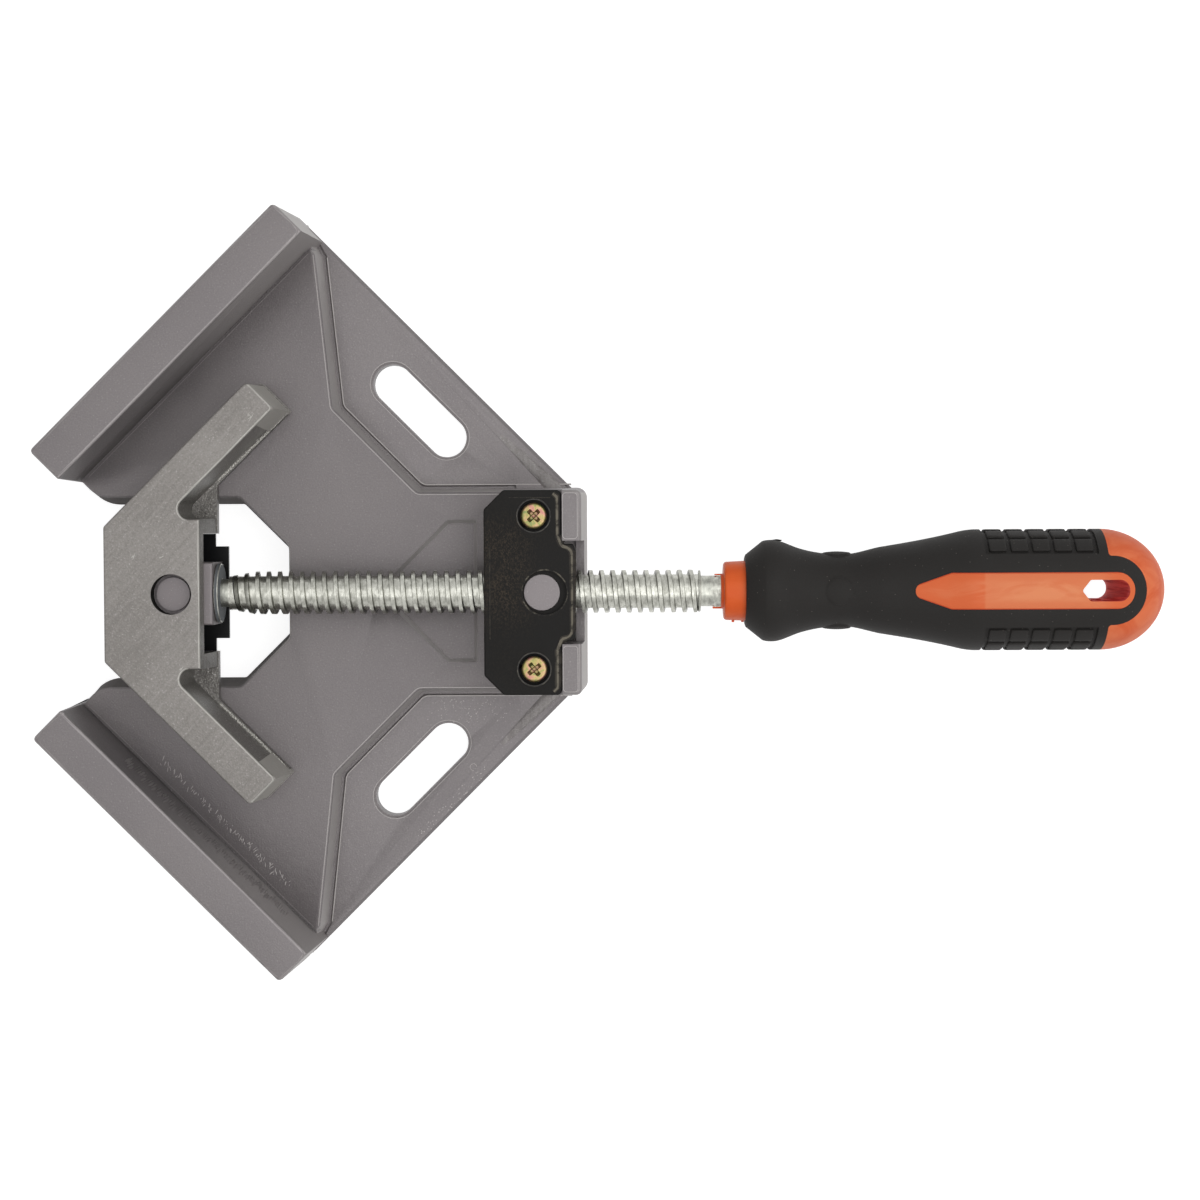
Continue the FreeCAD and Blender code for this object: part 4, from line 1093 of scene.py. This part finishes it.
def base_face(face):
    """The finish of a face of the base, by where it lies and how it leans; several finishes are copies of the
    paint made lighter or darker as painted light and shade.
    """
    x, y, z = face.calc_center_median() / MM
    along, out = fence_share(x, y)
    normal = face.normal
    # Rounded edges along the fence tops: painted highlight
    if z > FENCE_EDGE_LOW and 0.2 < normal.z < 0.97:
        return base_edge_highlight
    # Working faces of the fences: painted light and painted reflection
    if abs(out) < 0.4 and z > FLOOR_TOP and abs(normal.z) < 0.2 and along > FENCE_START + 0.8:
        return fence_wall_painted_reflection
    if abs(normal.z) > 0.3:
        if WING_TOP + 0.05 < z < WING_TOP + 2.0 and x + abs(y) > GUSSET_SUM:
            return gusset_sanding_and_highlight
        if ARROW_LOW < z < FLOOR_TOP and abs(y) < ARROW_HALF and normal.z < LEVEL:
            return flank_painted_light
        if normal.z > LEVEL and FLOOR_TOP - 2.5 < z < FLOOR_TOP + 0.1 and x < -14.0:
            return floor_painted_shade
        return wing_painted_light if normal.z > LEVEL and abs(z - WING_TOP) < 0.1 else base_paint
    if along > FENCE_END - 1.0 and out > -1.0 and normal.x > 0.5 or x > HOUSING_END_X and normal.x > 0.8:
        return base_painted_light
    if WING_TOP - 0.6 < z < FLOOR_TOP and abs(y) > FLANK_Y and -64.0 < x < -9.0 and out < -1.0:
        return flank_painted_light
    return notch_wall_painted_light if z < FLOOR_TOP + 0.1 and x < NOTCH_X and out < 0.0 else base_paint


def jaw_face(face):
    """The sanded top, its rounded inner edges lightened as a painted highlight, the raw sides and pockets,
    and the ends of the arms made paler as painted light.
    """
    x, y, z = face.calc_center_median() / MM
    normal = face.normal
    if z > JAW_TOP - 1.0 and normal.z > 0.2:
        return jaw_highlight_and_blemish if normal.z <= 0.97 and normal.x > 0.1 else jaw_cast
    if abs(y) > JAW_ARM_END_Y and normal.x > 0.4:
        return jaw_tip_painted_light
    return bore_painted_shade if math.hypot(x - JAW_PIVOT_X, y) < JAW_BORE_R else jaw_side


def corner_cutter(side, along, out, inward, outward, radius, leans):
    """Takes the sharp upright corner off a fence, following the lean of its sides."""
    rows = []
    spare = 4.0
    for z in (-1.0, FENCE_TOP + 1.0):
        fall = 1.0 - z / FENCE_TOP
        a = along - inward * leans[0] * fall
        o = out - outward * leans[1] * fall
        plan = [(a - inward * spare, o + outward * radius)]
        for k in range(9):
            turn = 0.5 * math.pi * k / 8
            plan.append((a + inward * radius * (1.0 - math.cos(turn)),
                         o + outward * radius * (1.0 - math.sin(turn))))
        plan += [(a + inward * radius, o - outward * spare), (a - inward * spare, o - outward * spare)]
        rows.append([(x * MM, side * y * MM, z * MM) for x, y in (fence_spot(*p) for p in plan)])
    return skin("corner_cutter", rows)


def worked_base(bm):
    """The casting with the grooves at the fences' feet closed to a line, and the fences' corners rounded."""
    shift = (GROOVE_WIDTH - GROOVE_SEEN) * DIAGONAL * MM
    for vert in bm.verts:
        x, y, z = vert.co / MM
        along, out = fence_share(x, y)
        if abs(out + GROOVE_WIDTH) < 0.02 and FLOOR_TOP - 1.6 < z < FLOOR_TOP + 0.1 and along > FENCE_START:
            vert.co.x -= shift
            vert.co.y += shift if y > 0.0 else -shift
    piece = from_bmesh("base_raw", bm)
    for side in (1.0, -1.0):
        carved(piece, "DIFFERENCE",
               corner_cutter(side, FENCE_START, FENCE_THICK, 1.0, -1.0, 1.6, (0.6, 0.6)),
               corner_cutter(side, FENCE_END, FENCE_THICK, -1.0, -1.0, 1.6, (2.1, 0.6)),
               corner_cutter(side, FENCE_START, 0.0, 1.0, 1.0, 0.7, (0.6, 0.0)))
    worked = bmesh.new()
    worked.from_mesh(piece.data)
    bpy.data.objects.remove(piece)
    return worked


def shifted(points, distance):
    """An open line of corners moved sideways, outwards for the upper half of the base."""
    result = []
    for i, (x, y, *rounding) in enumerate(points):
        sides = []
        for a, b in ((i - 1, i), (i, i + 1)):
            if a >= 0 and b < len(points):
                run = (Vector(points[b][:2]) - Vector(points[a][:2])).normalized()
                sides.append(Vector((run.y, -run.x)))
        side = sum(sides, Vector((0.0, 0.0))).normalized()
        reach = distance / side.dot(sides[0])
        result.append((x + side.x * reach, y + side.y * reach, *rounding))
    return result


def open_line(points):
    """The same line as plain points with its corners rounded."""
    return [Vector(points[0][:2])] + rounded_outline(points, 6)[1:-1] + [Vector(points[-1][:2])]


def arc(x, y, radius, first_deg, turn_deg, steps):
    """Points on an arc round (x, y)."""
    turns = [math.radians(first_deg + turn_deg * k / steps) for k in range(steps + 1)]
    return [Vector((x + radius * math.cos(turn), y + radius * math.sin(turn))) for turn in turns]


def marks_tree():
    """Small flat marks strewn along a line, each with its own turn and size."""
    given = geometry_tree("strewn_marks", Vector=["Start", "End", "Mark size", "Spread"],
                          Float=["Heading", "Wander"], Int=["Count", "Seed"])
    count, spread = given["Count"], given["Spread"]

    def chance(kind, low, high, offset):
        """A random value of its own for every mark."""
        made = add(count.tree, "FunctionNodeRandomValue", data_type=kind)
        wanted = {"Min": low, "Max": high, "Seed": given["Seed"] + offset}
        for socket in made.inputs:
            if socket.enabled and socket.name in wanted:
                plug(wanted[socket.name], socket)
        return Wire([socket for socket in made.outputs if socket.enabled][0])

    share = after(count, "GeometryNodeInputIndex", {}) / (count - 1.0).step("MAXIMUM", 1.0)
    points = after(count, "GeometryNodePoints", {"Count": count})
    line = blend(share, given["Start"], given["End"], "VECTOR")
    backwards = spread.vector("MULTIPLY", (-1.0,) * 3)
    placed = moved(points, line.vector("ADD", chance("FLOAT_VECTOR", backwards, spread, 1.0)))
    pebble = after(count, "GeometryNodeMeshIcoSphere", {"Radius": 0.5, "Subdivisions": 1}, "Mesh")
    turn = given["Heading"] + chance("FLOAT", -1.0, 1.0, 2.0) * given["Wander"]
    growth = chance("FLOAT_VECTOR", (0.3, 0.5, 0.6), (1.5, 1.2, 1.0), 3.0)
    laid = after(placed, "GeometryNodeInstanceOnPoints", {
        "Points": placed, "Instance": pebble, "Rotation": combined(0.0, 0.0, turn),
        "Scale": given["Mark size"].vector("MULTIPLY", growth)})
    return end_tree(laid, given["Finish"])


strewn_marks = marks_tree()


def marks(name, start, end, size, spread, heading_deg, wander_deg, count, seed, material):
    """Strewn marks as a plain mesh with the finish they take; places and sizes in millimetres."""
    lengths = {"Start": start, "End": end, "Mark size": size, "Spread": spread}
    return grown(name, strewn_marks, {
        **{title: [c * MM for c in values] for title, values in lengths.items()},
        "Heading": math.radians(heading_deg), "Wander": math.radians(wander_deg),
        "Count": count, "Seed": seed, "Finish": material}), material


def base_marks():
    """Drawn lines and casting marks that lie on the base's faces: painted highlights along rounded edges,
    painted shade in a seam, and pale casting marks.
    """
    to_gusset = [(GUSSET_END_X, FLOOR_END_Y)] + FLOOR_EDGE[1:]
    pad = rounded_outline([(5.65, 14.3, 0.9), (9.55, 14.3, 0.9), (9.55, 26.5, 0.9), (5.65, 26.5, 0.9)], 5)
    slot = [p for (x, y), first in zip(SLOT_ENDS, (45.0, 225.0))
            for p in arc(x, y, SLOT_R + SLOT_RING_GAP, first, 180.0, 16)]
    foot = [fence_spot(46.0, -1.0), fence_spot(132.0, -1.0)]
    parts = []
    # Painted highlights along the floor's edge, the wing's edge, the pads' rims and the fences' feet, and
    # painted shade in the seam below the floor's edge
    for name, path, width, z, closed, material in (
            ("edge_highlight_line", open_line(shifted(FLOOR_EDGE, -0.5)), 0.3, FLOOR_TOP, False, pale_marks_and_highlight),
            ("seam_shade_line", open_line(shifted(FLOOR_EDGE, 1.95)), 0.36, WING_TOP - 0.5, False, seam_painted_shade),
            ("wing_edge_highlight", open_line(shifted(to_gusset, 2.36)), 0.44, WING_TOP, False, pale_marks_and_highlight),
            ("pad_rim_highlight", pad, 0.24, COVER_TOP, True, pale_marks_and_highlight),
            ("slot_ring", slot, 0.22, WING_TOP, True, pale_marks_and_highlight),
            ("foot_highlight_line", foot, 0.18, FLOOR_TOP, False, base_edge_highlight)):
        for side in (1.0, -1.0):
            parts.append((ribbon(name, [Vector((x, side * y)) for x, y in path], width, z, closed), material))

    def low_fence(along, out, z):
        """A place by the lower fence."""
        x, y = fence_spot(along, out)
        return x, -y, z

    parts += [marks(*row) for row in (
        ("flow_marks", low_fence(70.0, -4.4, FLOOR_TOP), low_fence(119.0, -4.4, FLOOR_TOP), (1.3, 0.24, 0.12),
         (0.8, 0.8, 0.0), 70.0, 40.0, 96, 3, pale_marks_and_highlight),
        ("wall_ripples", low_fence(64.0, -0.02, 27.0), low_fence(124.0, -0.02, 22.0), (0.7, 0.3, 11.0),
         (0.0, 0.0, 3.0), -45.0, 12.0, 80, 9, base_edge_highlight),
        ("slot_dots", (-31.0, -33.0, WING_TOP), (-12.0, -33.5, WING_TOP), (0.42, 0.3, 0.12),
         (2.4, 3.6, 0.0), 30.0, 60.0, 80, 5, pale_marks_and_highlight),
        ("edge_dots", (-16.0, -50.0, WING_TOP), (-36.0, -68.0, WING_TOP), (0.46, 0.32, 0.12),
         (1.2, 1.4, 0.0), 45.0, 60.0, 56, 7, pale_marks_and_highlight))]
    circle = arc(*CAST_CIRCLE, 0.0, CAST_CIRCLE_TURN_DEG, 12)
    parts.append((ribbon("cast_circle", circle, 0.2, WING_TOP), pale_marks_and_highlight))
    finish_piece(joined("base_marks", parts, [pale_marks_and_highlight, seam_painted_shade, base_edge_highlight]), "base", "base_metal")


def jaw_marks():
    """Painted glints of bright grains along the outer rims of the jaw's flanges, and blemishes on its sanded
    top.
    """
    (x1, y1), (x2, y2) = JAW_RIM
    parts = [marks("rim_grain_glints", (x1, side * y1, JAW_FLANGE_TOP), (x2, side * y2, JAW_FLANGE_TOP),
                   (0.27, 0.23, 0.1), (0.26, 0.26, 0.0), 45.0 * side, 60.0, 420, 11, jaw_glint)
             for side in (1.0, -1.0)]
    for x, y, heading, length in ((-108.4, 9.9, 60.0, 1.6), (-101.0, 9.7, 20.0, 1.2),
                                  (-76.9, 46.6, 50.0, 2.2), (-77.4, 47.3, 120.0, 1.2),
                                  (-96.0, -20.0, 45.0, 1.4)):
        parts.append(marks("blemish", (x, y, JAW_TOP), (x + 0.3, y + 0.3, JAW_TOP), (length, 0.22, 0.06),
                           (0.2, 0.2, 0.0), heading, 20.0, 2, 13, jaw_highlight_and_blemish))
    finish_piece(joined("jaw_marks", parts, [jaw_glint, jaw_highlight_and_blemish]), "jaw", "jaw_metal")


def castings():
    """Base and jaw, with the marks that lie on them."""
    finish_piece(dressed("base_casting", "base", 0.3, BASE_FINISHES, base_face, worked_base),
                 "base", "base_metal", "base_casting")
    finish_piece(dressed("jaw_casting", "jaw", 0.3, JAW_FINISHES, jaw_face),
                 "jaw", "jaw_metal", "jaw_casting")
    base_marks()
    jaw_marks()


def small_pieces():
    """The pieces that keep their solids' shapes, with rounded edges and their finishes."""
    for node, body, slot, material, width in (
            ("keeper_plate", "jaw", "keeper_steel", keeper_black, 0.12),
            ("nut_block", "nut", "nut_steel", stud_grey, 0.4),
            ("head_block", "head", "nut_steel", head_grey, 0.4),
            ("retaining_ring", "spindle", "nut_steel", nut_steel, 0.1),
            ("keeper_screw_1", "jaw", "screw_zinc", screw_zinc, 0.1),
            ("keeper_screw_2", "jaw", "screw_zinc", screw_zinc, 0.1)):
        finish_piece(dressed(node, node + "_dressed", width, [material, material]), body, slot, node)
    washer = dressed("thrust_washer", "washer", 0.25, [washer_face, spindle_zinc])
    finish_piece(washer, "spindle", "spindle_zinc", "thrust_washer")


# Floor, light and camera

LAMP_SIZE = 1.2
FLOOR_HALF = 6.0


def seen(tree):
    """1 for what the camera sees, directly or in a gloss, and 0 for the light that falls on the object."""
    rays = add(tree, "ShaderNodeLightPath").outputs
    direct, glossy, clear = (Wire(rays[f"Is {kind} Ray"]) for kind in ("Camera", "Glossy", "Transmission"))
    return direct.step("MAXIMUM", glossy.step("MAXIMUM", clear))


def stage():
    """A wide floor that looks white to the camera and lights the object like grey paper."""
    bm = bmesh.new()
    bm.faces.new([bm.verts.new((x * FLOOR_HALF, y * FLOOR_HALF, 0.0))
                  for x, y in ((-1, -1), (1, -1), (1, 1), (-1, 1))])
    made = bpy.data.materials.new("floor_white")
    made.use_nodes = True
    tree = made.node_tree
    surface = tree.nodes["Principled BSDF"]
    for name, value in (("Base Color", (0.5, 0.5, 0.5, 1.0)), ("Roughness", 0.9),
                        ("Specular IOR Level", 0.0)):
        plug(value, surface.inputs[name])
    plain = Wire(surface.outputs[0])
    glow = after(plain, "ShaderNodeEmission", {"Color": (1, 1, 1, 1), "Strength": 0.85})
    both = after(plain, "ShaderNodeAddShader", {0: plain, 1: glow})
    pick = after(plain, "ShaderNodeMixShader", {0: seen(tree), 1: plain, 2: both})
    plug(pick, tree.nodes["Material Output"].inputs["Surface"])
    floor = from_bmesh("floor", bm, [made])
    floor.location.z = -0.05 * MM


def lamp(name, spot, energy):
    """A square lamp that faces the object's origin."""
    data = bpy.data.lights.new(name, "AREA")
    data.shape = "SQUARE"
    data.size = LAMP_SIZE
    data.energy = energy
    made = new_object(name, data)
    made.location = spot
    made.rotation_euler = (-Vector(spot)).to_track_quat("-Z", "Y").to_euler()


def light():
    """A white surround that gives less light than it shows, and three lamps."""
    world = bpy.data.worlds.new("studio")
    bpy.context.scene.world = world
    world.use_nodes = True
    back = world.node_tree.nodes["Background"].inputs
    whole = seen(world.node_tree)
    plug((1, 1, 1, 1), back["Color"])
    strength = after(whole, "ShaderNodeMapRange", {"Value": whole, "To Min": 0.28, "To Max": 1.0})
    plug(strength, back["Strength"])
    lamp("key", (0.6, -0.4, 1.25), 6.1)
    lamp("second", (0.6, 0.6, 1.2), 4.7)
    lamp("overhead", (-0.25, 0.0, 1.4), 3.2)


def camera():
    data = bpy.data.cameras.new("camera")
    data.sensor_width = 36.0
    data.lens = 71.52
    made = new_object("camera", data)
    made.location = (18.8 * MM, 16.0 * MM, 670.0 * MM)
    made.rotation_euler = [math.radians(a) for a in (-1.63, 0.29, -0.26)]
    bpy.context.scene.camera = made


spindle()
handle_grip()
handle_core()
cover()
cover_screw("cover_screw_1", 45.0)
cover_screw("cover_screw_2", 38.0)
castings()
small_pieces()
stage()
light()
camera()
bpy.context.scene.view_settings.view_transform = "Standard"
